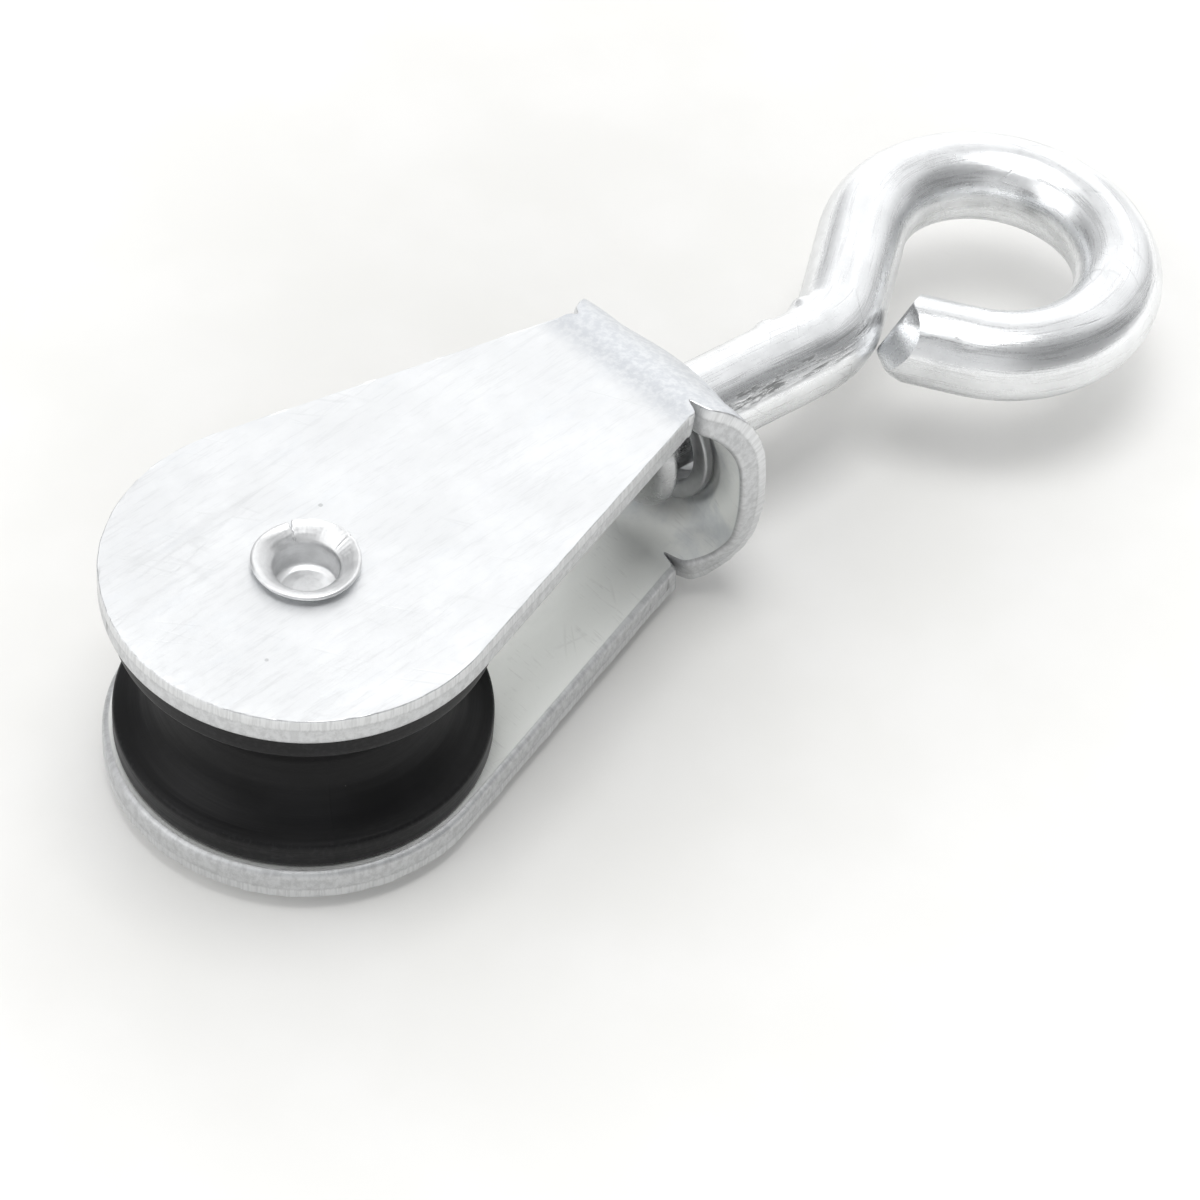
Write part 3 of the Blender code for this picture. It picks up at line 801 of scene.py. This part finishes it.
class Nodes:
    """A short way to place and join the nodes of one tree."""

    def __init__(self, tree):
        self.tree = tree

    def add(self, kind, **settings):
        """A new node, with its settings."""
        node = self.tree.nodes.new(kind)
        for key, value in settings.items():
            setattr(node, key, value)
        return node

    def feed(self, node, name, value):
        """Sets an input to a number, or joins it to another node's output."""
        socket = node.inputs[name]
        if isinstance(value, bpy.types.NodeSocket):
            self.tree.links.new(value, socket)
        else:
            socket.default_value = value

    def math(self, operation, *values, clamp=False):
        """One sum: MULTIPLY_ADD is the first times the second plus the third."""
        node = self.add("ShaderNodeMath", operation=operation, use_clamp=clamp)
        for index, value in enumerate(values):
            self.feed(node, index, value)
        return node.outputs[0]

    def times(self, first, *others):
        """The product of all the values."""
        for other in others:
            first = self.math("MULTIPLY", first, other)
        return first

    def scaled(self, vector, scale):
        """The vector with each of its parts scaled."""
        node = self.add("ShaderNodeVectorMath", operation="MULTIPLY")
        self.feed(node, 0, vector)
        self.feed(node, 1, scale)
        return node.outputs[0]

    def noise(self, vector, scale, detail=2.0, rough=0.5):
        """Noise from 0 to 1, most of it near 0.5."""
        node = self.add("ShaderNodeTexNoise")
        names = ("Vector", "Scale", "Detail", "Roughness")
        for name, value in zip(names, (vector, scale, detail, rough)):
            self.feed(node, name, value)
        return node.outputs["Fac"]

    def span(self, value, low, high, to_low=0.0, to_high=1.0):
        """A smooth step from to_low at low to to_high at high. Low may be above high."""
        node = self.add("ShaderNodeMapRange", interpolation_type="SMOOTHSTEP")
        names = ("Value", "From Min", "From Max", "To Min", "To Max")
        for name, number in zip(names, (value, low, high, to_low, to_high)):
            self.feed(node, name, number)
        return node.outputs["Result"]

    def mix(self, amount, first, second):
        """The first colour where amount is 0, the second where it is 1."""
        node = self.add("ShaderNodeMix", data_type="RGBA")
        for index, value in ((0, amount), (6, first), (7, second)):
            self.feed(node, index, value)
        return node.outputs[2]

    def stain(self, base, mask, share, colour):
        """The base with a share of another colour where the mask is 1."""
        return self.mix(self.times(mask, share), base, colour)

    def attribute(self, name):
        """The vector of a mesh attribute."""
        return self.add("ShaderNodeAttribute", attribute_name=name).outputs["Vector"]

    def place(self):
        """The Object coordinates."""
        return self.add("ShaderNodeTexCoord").outputs["Object"]

    def split(self, vector):
        """A vector's three parts."""
        node = self.add("ShaderNodeSeparateXYZ")
        self.feed(node, 0, vector)
        return node.outputs

    def join(self, *parts):
        """A vector of two or three parts."""
        node = self.add("ShaderNodeCombineXYZ")
        for index, value in enumerate(parts):
            self.feed(node, index, value)
        return node.outputs[0]

    def turned(self, vector, angle):
        """The vector turned about Z."""
        node = self.add("ShaderNodeVectorRotate", rotation_type="Z_AXIS")
        self.feed(node, "Vector", vector)
        self.feed(node, "Angle", angle)
        return node.outputs[0]

    def bump(self, height, distance, strength=1.0, normal=None):
        """A normal bent by the height, on top of another normal if one is given."""
        node = self.add("ShaderNodeBump")
        for name, value in (("Height", height), ("Distance", distance), ("Strength", strength)):
            self.feed(node, name, value)
        if normal is not None:
            self.feed(node, "Normal", normal)
        return node.outputs[0]

    def group(self, tree, **values):
        """The one output of a node group, with its inputs set by their names."""
        node = self.add("ShaderNodeGroup", node_tree=tree)
        for name, value in values.items():
            self.feed(node, name, value)
        return node.outputs[0]


def new_group(name, inputs, outputs):
    """A shader node group with named float or vector inputs and float outputs: its tree, its
    helper, and the sockets of its input and output nodes."""
    tree = bpy.data.node_groups.new(name, "ShaderNodeTree")
    for label, kind, default in inputs:
        socket = tree.interface.new_socket(label, in_out="INPUT", socket_type=kind)
        if default is not None:
            socket.default_value = default
    for label in outputs:
        tree.interface.new_socket(label, in_out="OUTPUT", socket_type="NodeSocketFloat")
    nodes = Nodes(tree)
    return tree, nodes, nodes.add("NodeGroupInput").outputs, nodes.add("NodeGroupOutput").inputs


FLOAT, VECTOR = "NodeSocketFloat", "NodeSocketVector"


def grain_group():
    """Fine parallel lines: fine and broad noise, both stretched along the vector's X."""
    tree, n, given, out = new_group(
        "drawn grain",
        [("Vector", VECTOR, None), ("Lines", FLOAT, 9000.0), ("Stretch", FLOAT, 0.02)],
        ["Grain"],
    )
    parts = n.split(given["Vector"])
    drawn = n.join(n.times(parts[0], given["Stretch"]), parts[1], parts[2])
    fine = n.noise(drawn, given["Lines"], 3.0, 0.6)
    broad = n.noise(drawn, n.times(given["Lines"], 0.22), 2.0, 0.5)
    tree.links.new(n.math("MULTIPLY_ADD", broad, 0.45, n.times(fine, 0.55)), out[0])
    return tree


def scratch_group():
    """Sparse thin scratches: where one of three stretched noises crosses its middle value,
    within patches of another noise."""
    tree, n, given, out = new_group(
        "stray scratches",
        [("Vector", VECTOR, None), ("Scale", FLOAT, 260.0), ("Amount", FLOAT, 0.5)],
        ["Scratches"],
    )
    patch = n.noise(given["Vector"], n.times(given["Scale"], 0.8), 1.0, 0.5)
    patch = n.span(patch, 0.52, 0.68)
    total = 0.0
    stretches = ((0.5, (1.0, 0.09, 1.0)), (-0.9, (0.11, 1.0, 1.0)), (1.7, (1.0, 0.07, 1.0)))
    for turn, squeeze in stretches:
        stretched = n.scaled(n.turned(given["Vector"], turn), squeeze)
        sheet = n.noise(stretched, given["Scale"], 1.0, 0.4)
        line = n.math("ABSOLUTE", n.math("SUBTRACT", sheet, 0.5))
        thin = n.span(line, 0.0, 0.012, 1.0, 0.0)
        total = n.math("MAXIMUM", total, n.times(thin, patch))
    tree.links.new(n.times(total, given["Amount"]), out[0])
    return tree


def speck_group():
    """Scattered specks: the middles of a few of the cells of a Voronoi pattern."""
    tree, n, given, out = new_group(
        "specks",
        [("Vector", VECTOR, None), ("Scale", FLOAT, 500.0), ("Size", FLOAT, 0.12),
         ("Share", FLOAT, 0.3)],
        ["Specks"],
    )
    cells = n.add("ShaderNodeTexVoronoi")
    n.feed(cells, "Vector", given["Vector"])
    n.feed(cells, "Scale", given["Scale"])
    near = n.span(n.math("DIVIDE", cells.outputs["Distance"], given["Size"]), 0.6, 1.0, 1.0, 0.0)
    pick = n.math("LESS_THAN", n.split(cells.outputs["Color"])[0], given["Share"])
    tree.links.new(n.times(near, pick), out[0])
    return tree


class Finishes:
    """The effects that several materials share, built once."""

    def __init__(self):
        self.grain = grain_group()
        self.scratches = scratch_group()
        self.specks = speck_group()


def new_material(name, roughness, metallic):
    """A material with one Principled shader: the material, its helper and the shader."""
    material = bpy.data.materials.new(name)
    material.use_nodes = True
    tree = material.node_tree
    shader = tree.nodes["Principled BSDF"]
    shader.inputs["Roughness"].default_value = roughness
    shader.inputs["Metallic"].default_value = metallic
    return material, Nodes(tree), shader


def shade(value, colour_of_piece):
    """A piece's colour times a number, as a node colour."""
    return (*(part * value for part in colour_of_piece), 1.0)


def strap_material(finish, metal):
    """Bright plated sheet: fine rolling lines along the strip, faint clouding and stray marks
    on its faces, and on its sheared edges a smooth burnished band above a matt torn one."""
    material, n, shader = new_material("plated strap", 0.4, 1.0)
    flat = n.attribute("flat")
    edge = n.split(n.attribute("edge"))
    grain = n.group(finish.grain, Vector=flat, Lines=9000.0, Stretch=0.08)
    cloud = n.noise(flat, 130.0, 5.0, 0.62)
    mottle = n.noise(flat, 2600.0, 3.0, 0.6)
    patina = n.noise(n.scaled(flat, (0.35, 1.0, 1.0)), 420.0, 4.0, 0.65)
    scratches = n.group(finish.scratches, Vector=flat, Scale=240.0, Amount=0.6)
    specks = n.group(finish.specks, Vector=flat, Scale=420.0, Size=0.10, Share=0.06)

    wall = n.join(edge[2], n.times(edge[1], 0.12 * MM))
    striae = n.noise(wall, 4200.0, 3.0, 0.6)
    torn = n.noise(n.scaled(wall, (1.0, 8.0, 1.0)), 1700.0, 4.0, 0.7)
    jagged = n.noise(wall, 2200.0, 3.0, 0.7)
    line = n.math("MULTIPLY_ADD", n.math("SUBTRACT", jagged, 0.5), 0.4, edge[1])
    torn_part = n.span(line, 0.34, 0.22)
    rim_line = n.times(n.span(line, 0.12, 0.26), n.span(line, 0.42, 0.30))
    squashed = n.scaled(wall, (1.0, 3.0, 1.0))
    pits = n.group(finish.specks, Vector=squashed, Scale=700.0, Size=0.3, Share=0.14)
    pits = n.times(pits, torn_part)

    face = n.mix(n.span(cloud, 0.35, 0.7), shade(0.91, metal), shade(0.98, metal))
    face = n.stain(face, n.span(patina, 0.52, 0.75), 0.10, (0.62, 0.68, 0.76, 1.0))
    face = n.stain(face, n.span(grain, 0.50, 0.36), 0.14, shade(0.6, metal))
    run = n.math("ABSOLUTE", n.split(flat)[0])
    # The bends are painted darker, in speckled patches: painted shade where the bends curve away from
    # the light.
    bend = n.times(n.span(run, 15.6 * MM, 12.6 * MM), n.span(run, 3.0 * MM, 6.0 * MM))
    speckle = n.noise(flat, 1500.0, 4.0, 0.7)
    face = n.stain(face, bend, n.span(speckle, 0.35, 0.62, 0.45, 0.85), (0.56, 0.58, 0.61, 1.0))
    # The inner faces are painted almost white: painted light, standing in for the brighter light that
    # they catch.
    inside = n.span(edge[1], 0.5, -0.5)
    face = n.stain(face, inside, 0.9, (0.98, 0.99, 0.97, 1.0))
    streaks = n.noise(n.scaled(flat, (1.0, 0.08, 1.0)), 3600.0, 3.0, 0.6)
    tooled = n.times(inside, n.span(streaks, 0.54, 0.66), n.span(patina, 0.46, 0.62))
    face = n.stain(face, tooled, 0.14, shade(0.5, metal))
    # The inside of the web and bends is painted a darker blue-grey in clouded patches: painted shade of
    # the hollow behind the eye's head.
    inner_web_shade = n.times(inside, n.span(run, 14.0 * MM, 10.0 * MM), n.span(cloud, 0.40, 0.66))
    face = n.stain(face, inner_web_shade, 0.45, (0.50, 0.54, 0.60, 1.0))
    face = n.stain(face, scratches, 0.22, shade(0.55, metal))
    face = n.stain(face, specks, 0.4, shade(0.35, metal))
    side = n.mix(n.span(striae, 0.35, 0.6), shade(0.70, metal), shade(0.82, metal))
    torn_side = n.mix(n.span(torn, 0.36, 0.62), shade(0.62, metal), shade(0.75, metal))
    side = n.mix(torn_part, side, torn_side)
    side = n.stain(side, rim_line, 0.18, shade(0.4, metal))
    side = n.stain(side, pits, 0.55, shade(0.2, metal))
    n.feed(shader, "Base Color", n.mix(edge[0], face, side))

    rough = n.span(grain, 0.3, 0.7, 0.40, 0.47)
    rough = n.math("MULTIPLY_ADD", n.math("SUBTRACT", mottle, 0.5), 0.12, rough)
    rough = n.math("MULTIPLY_ADD", inside, 0.14, rough)
    rough_side = n.math("MULTIPLY_ADD", torn_part, 0.14, 0.38)
    blend = n.add("ShaderNodeMix", data_type="FLOAT")
    n.feed(blend, 0, edge[0])
    n.feed(blend, 2, rough)
    n.feed(blend, 3, rough_side)
    n.feed(shader, "Roughness", blend.outputs[0])

    on_face = n.math("SUBTRACT", 1.0, edge[0])
    relief = n.math("MULTIPLY_ADD", mottle, 0.35, n.times(grain, 0.65))
    relief = n.math("SUBTRACT", relief, n.times(scratches, 0.6))
    normal = n.bump(n.times(relief, on_face), 0.025 * MM, 0.6)
    torn_relief = n.times(torn, 0.45)
    roughened = n.math("MULTIPLY_ADD", torn_relief, torn_part, n.times(striae, 0.35))
    roughened = n.math("SUBTRACT", roughened, pits)
    normal = n.bump(n.times(roughened, edge[0]), 0.07 * MM, 0.6, normal)
    wavy = n.noise(flat, 110.0, 2.0, 0.5)
    n.feed(shader, "Normal", n.bump(wavy, 0.06 * MM, 0.35, normal))
    return material


def rod_material(finish, metal):
    """Bright drawn rod: lines along it, a stripe beside the shank that is rubbed and rougher where the
    die closed and carries a painted dark reflection, stray scratches, and a brighter sheared end with a
    band of painted shade across its cut."""
    material, n, shader = new_material("drawn rod", 0.38, 1.0)
    straight = n.attribute("straight")
    cut = n.split(n.attribute("cut"))
    parts = n.split(straight)
    grain = n.group(finish.grain, Vector=straight, Lines=6000.0, Stretch=0.05)
    cloud = n.noise(straight, 240.0, 4.0, 0.6)
    skin = n.noise(straight, 3000.0, 3.0, 0.65)
    scratches = n.group(finish.scratches, Vector=straight, Scale=210.0, Amount=0.7)

    rub = n.noise(n.scaled(straight, (0.14, 1.0, 1.0)), 2600.0, 4.0, 0.7)
    angle = n.math("ARCTAN2", parts[2], parts[1])
    beside = n.math("ABSOLUTE", n.math("SUBTRACT", angle, math.radians(142.0)))
    stripe = n.span(beside, 0.30, 0.10)
    begins, ends = n.span(parts[0], 0.0, 4.0 * MM), n.span(parts[0], 21.0 * MM, 17.0 * MM)
    # Along the shank's side a stripe is painted dark: painted reflection of the shadowed ground, on a
    # band that is also rubbed and rougher.
    rub_and_dark_reflection = n.times(stripe, n.times(begins, ends), n.span(rub, 0.5, 0.6))

    body = n.mix(n.span(cloud, 0.35, 0.68), shade(0.90, metal), shade(1.0, metal))
    body = n.stain(body, n.span(grain, 0.50, 0.36), 0.34, shade(0.5, metal))
    body = n.stain(body, scratches, 0.35, shade(0.5, metal))
    body = n.stain(body, rub_and_dark_reflection, 0.8, shade(0.25, metal))
    # A band across the cut face is painted dark: painted shade of one facet of the cut.
    shaded = n.times(n.span(cut[1], -0.8, -0.65), n.span(cut[1], -0.12, -0.28))
    end = n.mix(shaded, shade(0.98, metal), shade(0.4, metal))
    # The upset head, inside the strap, is painted darker: painted shade of the hollow that it sits in.
    head = n.span(parts[0], -2.5 * MM, -3.5 * MM)
    body = n.stain(body, head, 0.75, shade(0.42, metal))
    n.feed(shader, "Base Color", n.mix(cut[0], body, end))
    rough = n.span(grain, 0.3, 0.7, 0.24, 0.34)
    rough = n.math("MULTIPLY_ADD", rub_and_dark_reflection, 0.2, rough)
    n.feed(shader, "Roughness", n.math("MULTIPLY_ADD", n.math("SUBTRACT", skin, 0.5), 0.12, rough))
    relief = n.math("MULTIPLY_ADD", grain, 0.7, n.times(skin, 0.3))
    relief = n.math("SUBTRACT", relief, n.times(rub_and_dark_reflection, 0.5))
    relief = n.math("SUBTRACT", relief, n.times(scratches, 0.7))
    normal = n.bump(relief, 0.035 * MM, 0.75)
    wavy = n.noise(n.scaled(straight, (0.6, 1.0, 1.0)), 130.0, 2.0, 0.5)
    n.feed(shader, "Normal", n.bump(wavy, 0.12 * MM, 0.35, normal))
    return material


def nylon_material(finish, nylon):
    """Black moulded nylon: faint rings round it from the tool, a soft sheen, a few pale specks of dust
    and paler grey patches on the rims' outer edges."""
    material, n, shader = new_material("black nylon", 0.36, 0.0)
    shader.inputs["Specular IOR Level"].default_value = 0.2
    turned = n.attribute("turned")
    place = n.place()
    rings = n.noise(n.scaled(turned, (1.0, 1.0, 0.0004)), 3600.0, 2.0, 0.6)
    lower = n.span(n.split(turned)[1], 1.0 * MM, -5.0 * MM)
    skin = n.noise(place, 2600.0, 3.0, 0.6)
    haze = n.noise(place, 150.0, 3.0, 0.6)
    dust = n.group(finish.specks, Vector=place, Scale=560.0, Size=0.075, Share=0.05)
    dust = n.times(dust, n.span(skin, 0.35, 0.55))
    base = n.mix(n.span(haze, 0.4, 0.75), shade(1.0, nylon), shade(1.8, nylon))
    paler_rim_patches = n.times(n.span(n.split(turned)[0], 15.3 * MM, 15.8 * MM), n.span(skin, 0.45, 0.7))
    base = n.stain(base, paler_rim_patches, 0.3, (0.03, 0.03, 0.032, 1.0))
    n.feed(shader, "Base Color", n.stain(base, dust, 0.5, (0.22, 0.22, 0.21, 1.0)))
    rough = n.span(rings, 0.35, 0.65, 0.32, 0.40)
    n.feed(shader, "Roughness", n.math("MULTIPLY_ADD", haze, 0.10, rough))
    relief = n.times(rings, n.math("MULTIPLY_ADD", lower, 0.8, 0.2))
    relief = n.math("MULTIPLY_ADD", skin, 0.12, relief)
    n.feed(shader, "Normal", n.bump(relief, 0.04 * MM, 0.5))
    return material


def turned_metal(name, finish, metal, dull):
    """Turned or pressed metal: rings round it, clouding and scratches."""
    material, n, shader = new_material(name, 0.3, 1.0)
    turned = n.attribute("turned")
    place = n.place()
    rings = n.noise(n.scaled(turned, (1.0, 1.0, 0.0006)), 4200.0, 3.0, 0.6)
    cloud = n.noise(place, 420.0, 4.0, 0.62)
    skin = n.noise(place, 3800.0, 3.0, 0.65)
    scratches = n.group(finish.scratches, Vector=place, Scale=420.0, Amount=0.6)
    body = n.mix(n.span(cloud, 0.35, 0.7), shade(0.84, metal), shade(1.0, metal))
    body = n.stain(body, n.span(rings, 0.5, 0.38), 0.10, shade(0.5, metal))
    n.feed(shader, "Base Color", n.stain(body, scratches, 0.3, shade(0.45, metal)))
    n.feed(shader, "Roughness", n.span(rings, 0.3, 0.7, dull, dull + 0.14))
    relief = n.math("MULTIPLY_ADD", rings, 0.7, n.times(skin, 0.4))
    n.feed(shader, "Normal", n.bump(relief, 0.02 * MM, 0.4))
    return material


# The oval of the paper's glow: its middle, its turn, and one over its two half widths
GLOW_CENTRE = (38.5 * MM, 14.6 * MM, 0.0)
GLOW_TURN = -0.57
GLOW_SHRINK = (1 / 0.150, 1 / 0.114, 1.0)


def paper_material():
    """White paper, fine-grained, that brightens to plain white away from the object: the glow
    grows with the square of the distance from an oval's middle, plus an offset."""
    material, n, shader = new_material("white paper", 0.85, 0.0)
    place = n.place()
    tooth = n.noise(place, 900.0, 4.0, 0.6)
    cloud = n.noise(place, 60.0, 3.0, 0.5)
    base = n.mix(n.span(cloud, 0.35, 0.7), (0.75, 0.745, 0.725, 1.0), (0.775, 0.77, 0.755, 1.0))
    n.feed(shader, "Base Color", base)
    n.feed(shader, "Normal", n.bump(tooth, 0.06 * MM, 0.35))
    shifted = n.add("ShaderNodeVectorMath", operation="SUBTRACT")
    n.feed(shifted, 0, place)
    n.feed(shifted, 1, GLOW_CENTRE)
    oval = n.scaled(n.turned(shifted.outputs[0], GLOW_TURN), GLOW_SHRINK)
    first, second, _ = n.split(oval)
    squares = n.math("ADD", n.math("POWER", first, 2.0), n.math("POWER", second, 2.0))
    square = n.math("POWER", n.math("ADD", n.math("SQRT", squares), 0.58), 2.0)
    glow = n.math("MULTIPLY", n.math("SUBTRACT", square, 0.42), 0.2, clamp=True)
    n.feed(shader, "Emission Color", n.mix(glow, (0, 0, 0, 1), (1, 1, 1, 1)))
    n.feed(shader, "Emission Strength", 1.0)
    return material


# ---------------------------------------------------------------- stage


def aim(obj, target):
    """Turns a light or a camera so that it looks at the target."""
    direction = Vector(target) - obj.location
    obj.rotation_euler = direction.to_track_quat("-Z", "Y").to_euler()


def softbox(name, direction, size, power):
    """A square soft light at one distance from the block's middle, in the given direction."""
    light = bpy.data.lights.new(name, "AREA")
    light.shape = "SQUARE"
    light.size = size
    light.energy = power
    obj = linked(name, light)
    obj.location = LIT_POINT + Vector(direction).normalized() * LIGHT_DISTANCE
    aim(obj, LIT_POINT)


LIT_POINT = Vector((35.0 * MM, 0.0, 10.0 * MM))
LIGHT_DISTANCE = 0.6
LIGHTS = (
    ("overhead light", (0.0, 0.0, 1.0), 0.3, 1.55),
    ("broad light behind", (0.5, 0.46, 0.73), 1.2, 1.56),
    ("low light behind", (0.6, 0.55, 0.35), 0.5, 0.55),
    ("left light", (-0.7, 0.35, 0.6), 0.5, 1.15),
    ("light by the lens", (-0.6, -0.6, 0.4), 0.5, 0.31),
    ("right light", (0.9, -0.1, 0.5), 0.5, 0.36),
)
FLOOR_REACH = 1.6
FLOOR_Z = -0.05 * MM
CAMERA_TARGET = Vector((24.55 * MM, -9.71 * MM, 9.75 * MM))
CAMERA_AZIMUTH = math.radians(-47.63)
CAMERA_ELEVATION = math.radians(47.13)
CAMERA_ROLL = math.radians(5.31)
CAMERA_DISTANCE = 358.2 * MM
CAMERA_LENS = 127.3


def build_camera():
    """A long lens that looks down on the block from its sheave's end, slightly tilted."""
    data = bpy.data.cameras.new("camera")
    data.lens = CAMERA_LENS
    data.sensor_width = 36.0
    camera = linked("camera", data)
    a, e = CAMERA_AZIMUTH, CAMERA_ELEVATION
    back = Vector((math.sin(a) * math.cos(e), -math.cos(a) * math.cos(e), math.sin(e)))
    right = (-back).cross(Vector((0, 0, 1))).normalized()
    up = right.cross(-back)
    tilted = right * math.cos(CAMERA_ROLL) + up * math.sin(CAMERA_ROLL)
    above = up * math.cos(CAMERA_ROLL) - right * math.sin(CAMERA_ROLL)
    turn = Matrix((tilted, above, back)).transposed().to_4x4()
    camera.matrix_world = Matrix.Translation(CAMERA_TARGET + back * CAMERA_DISTANCE) @ turn
    bpy.context.scene.camera = camera


def floor_object(material):
    """A large flat square just under the object, of four corners."""
    reach = FLOOR_REACH
    corners = ((-reach, -reach), (reach, -reach), (reach, reach), (-reach, reach))
    mesh = bpy.data.meshes.new("floor")
    mesh.from_pydata([(x, y, FLOOR_Z) for x, y in corners], [], [(0, 1, 2, 3)])
    mesh.materials.append(material)
    return linked("floor", mesh)


# ---------------------------------------------------------------- operators


def finishes():
    """The shared node groups, made the first time that an operator needs them."""
    if not hasattr(finishes, "made"):
        finishes.made = Finishes()
    return finishes.made


def placed(obj, body, slot, *nodes):
    """Says which body a piece rides on and hides the nodes it stands for; its material slot is not used.
    """
    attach(obj, body)
    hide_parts(*nodes)


class PULLEY_OT_stage(bpy.types.Operator):
    """Make the camera, the lights and the floor"""

    bl_idname = "pulley.stage"
    bl_label = "Stage"

    def execute(self, context):
        build_camera()
        floor_object(paper_material())
        for name, direction, size, power in LIGHTS:
            softbox(name, direction, size, power)
        world = bpy.data.worlds.new("studio")
        world.use_nodes = True
        background = world.node_tree.nodes["Background"]
        background.inputs["Color"].default_value = (0.98, 0.99, 1.0, 1.0)
        background.inputs["Strength"].default_value = 0.36
        context.scene.world = world
        context.scene.view_settings.view_transform = "Standard"
        return {"FINISHED"}


class PULLEY_OT_strap(bpy.types.Operator):
    """Make the folded strap with its ears, dish and holes"""

    bl_idname = "pulley.strap"
    bl_label = "Strap"

    def execute(self, context):
        sizes = context.scene.pulley_strap
        metal = strap_material(finishes(), tuple(sizes.metal))
        strap = strap_mesh(sizes, metal)
        apex = WEB_FACE_X + sizes.dish_height
        pierced(strap, hole_cutter("swivel_hole", SWIVEL_HOLE_RADIUS, apex - 3.3 * MM,
                                   apex - 0.35 * MM, 0.35 * MM, True, metal))
        inner = HALF_HEIGHT * 2 - sizes.thickness
        for side, low in enumerate((STRAP_LOW.z, STRAP_LOW.z + inner)):
            cutter = hole_cutter(f"axle_hole_{side}", AXLE_HOLE_RADIUS, low,
                                 low + sizes.thickness, 0.2 * MM, False, metal)
            pierced(strap, cutter)
        strap.data.shade_smooth()
        strap.data.set_sharp_from_angle(angle=math.radians(40.0))
        placed(strap, "frame", "strap", "strap_frame")
        return {"FINISHED"}


class PULLEY_OT_sheave(bpy.types.Operator):
    """Make the grooved nylon sheave"""

    bl_idname = "pulley.sheave"
    bl_label = "Sheave"

    def execute(self, context):
        sizes = context.scene.pulley_sheave
        sheave = build_sheave(sizes, nylon_material(finishes(), tuple(sizes.nylon)))
        placed(sheave, "sheave_body", "sheave", "sheave")
        return {"FINISHED"}


class PULLEY_OT_axle(bpy.types.Operator):
    """Make the axle rivet and its spacer sleeve"""

    bl_idname = "pulley.axle"
    bl_label = "Axle"

    def execute(self, context):
        sizes = context.scene.pulley_axle
        metal = tuple(sizes.metal)
        rivet = build_rivet(sizes, turned_metal("rivet metal", finishes(), metal, 0.36))
        placed(rivet, "frame", "rivet", "axle_rivet")
        sleeve = build_sleeve(sizes, turned_metal("sleeve steel", finishes(), metal, 0.34))
        placed(sleeve, "frame", "sleeve", "axle_sleeve")
        return {"FINISHED"}


class PULLEY_OT_washer(bpy.types.Operator):
    """Make the washer under the eye's head"""

    bl_idname = "pulley.washer"
    bl_label = "Washer"

    def execute(self, context):
        sizes = context.scene.pulley_eye
        # The washer is painted at about half the metal's brightness: painted shade of the dish that it
        # sits in.
        painted_shade_metal = tuple(0.55 * value for value in sizes.metal)
        washer = build_washer(sizes, turned_metal("washer steel", finishes(), painted_shade_metal, 0.36))
        placed(washer, "washer_body", "washer", "swivel_washer")
        return {"FINISHED"}


class PULLEY_OT_eye(bpy.types.Operator):
    """Make the swivel eye with its upset head and pinched end"""

    bl_idname = "pulley.eye"
    bl_label = "Swivel eye"

    def execute(self, context):
        sizes = context.scene.pulley_eye
        eye = build_eye(sizes, rod_material(finishes(), tuple(sizes.metal)))
        eye.data.set_sharp_from_angle(angle=math.radians(38.0))
        placed(eye, "eye_body", "rod", "swivel_eye")
        return {"FINISHED"}


class PULLEY_PT_panel(bpy.types.Panel):
    """Sizes, colours and buttons of the pulley block"""

    bl_label = "Pulley block"
    bl_idname = "PULLEY_PT_panel"
    bl_space_type = "VIEW_3D"
    bl_region_type = "UI"
    bl_category = "Pulley block"

    def draw(self, context):
        for operator, group in STEPS:
            box = self.layout.box()
            box.operator(operator.bl_idname)
            if group:
                settings = getattr(context.scene, group)
                for name in settings.__annotations__:
                    box.prop(settings, name)


STEPS = (
    (PULLEY_OT_stage, ""),
    (PULLEY_OT_strap, "pulley_strap"),
    (PULLEY_OT_sheave, "pulley_sheave"),
    (PULLEY_OT_axle, "pulley_axle"),
    (PULLEY_OT_washer, ""),
    (PULLEY_OT_eye, "pulley_eye"),
)
GROUPS = {
    "pulley_strap": StrapSettings,
    "pulley_sheave": SheaveSettings,
    "pulley_axle": AxleSettings,
    "pulley_eye": EyeSettings,
}


def register():
    """Adds the settings to the scene, and the operators and the panel to the program."""
    for name, group in GROUPS.items():
        bpy.utils.register_class(group)
        setattr(bpy.types.Scene, name, bpy.props.PointerProperty(type=group))
    for operator, _ in STEPS:
        bpy.utils.register_class(operator)
    bpy.utils.register_class(PULLEY_PT_panel)


def unregister():
    """Takes away what register added."""
    bpy.utils.unregister_class(PULLEY_PT_panel)
    for operator, _ in reversed(STEPS):
        bpy.utils.unregister_class(operator)
    for name, group in GROUPS.items():
        delattr(bpy.types.Scene, name)
        bpy.utils.unregister_class(group)


def main():
    """Makes every piece and the stage."""
    register()
    for operator, _ in STEPS:
        family, name = operator.bl_idname.split(".")
        getattr(getattr(bpy.ops, family), name)()


if __name__ == "__main__":
    main()
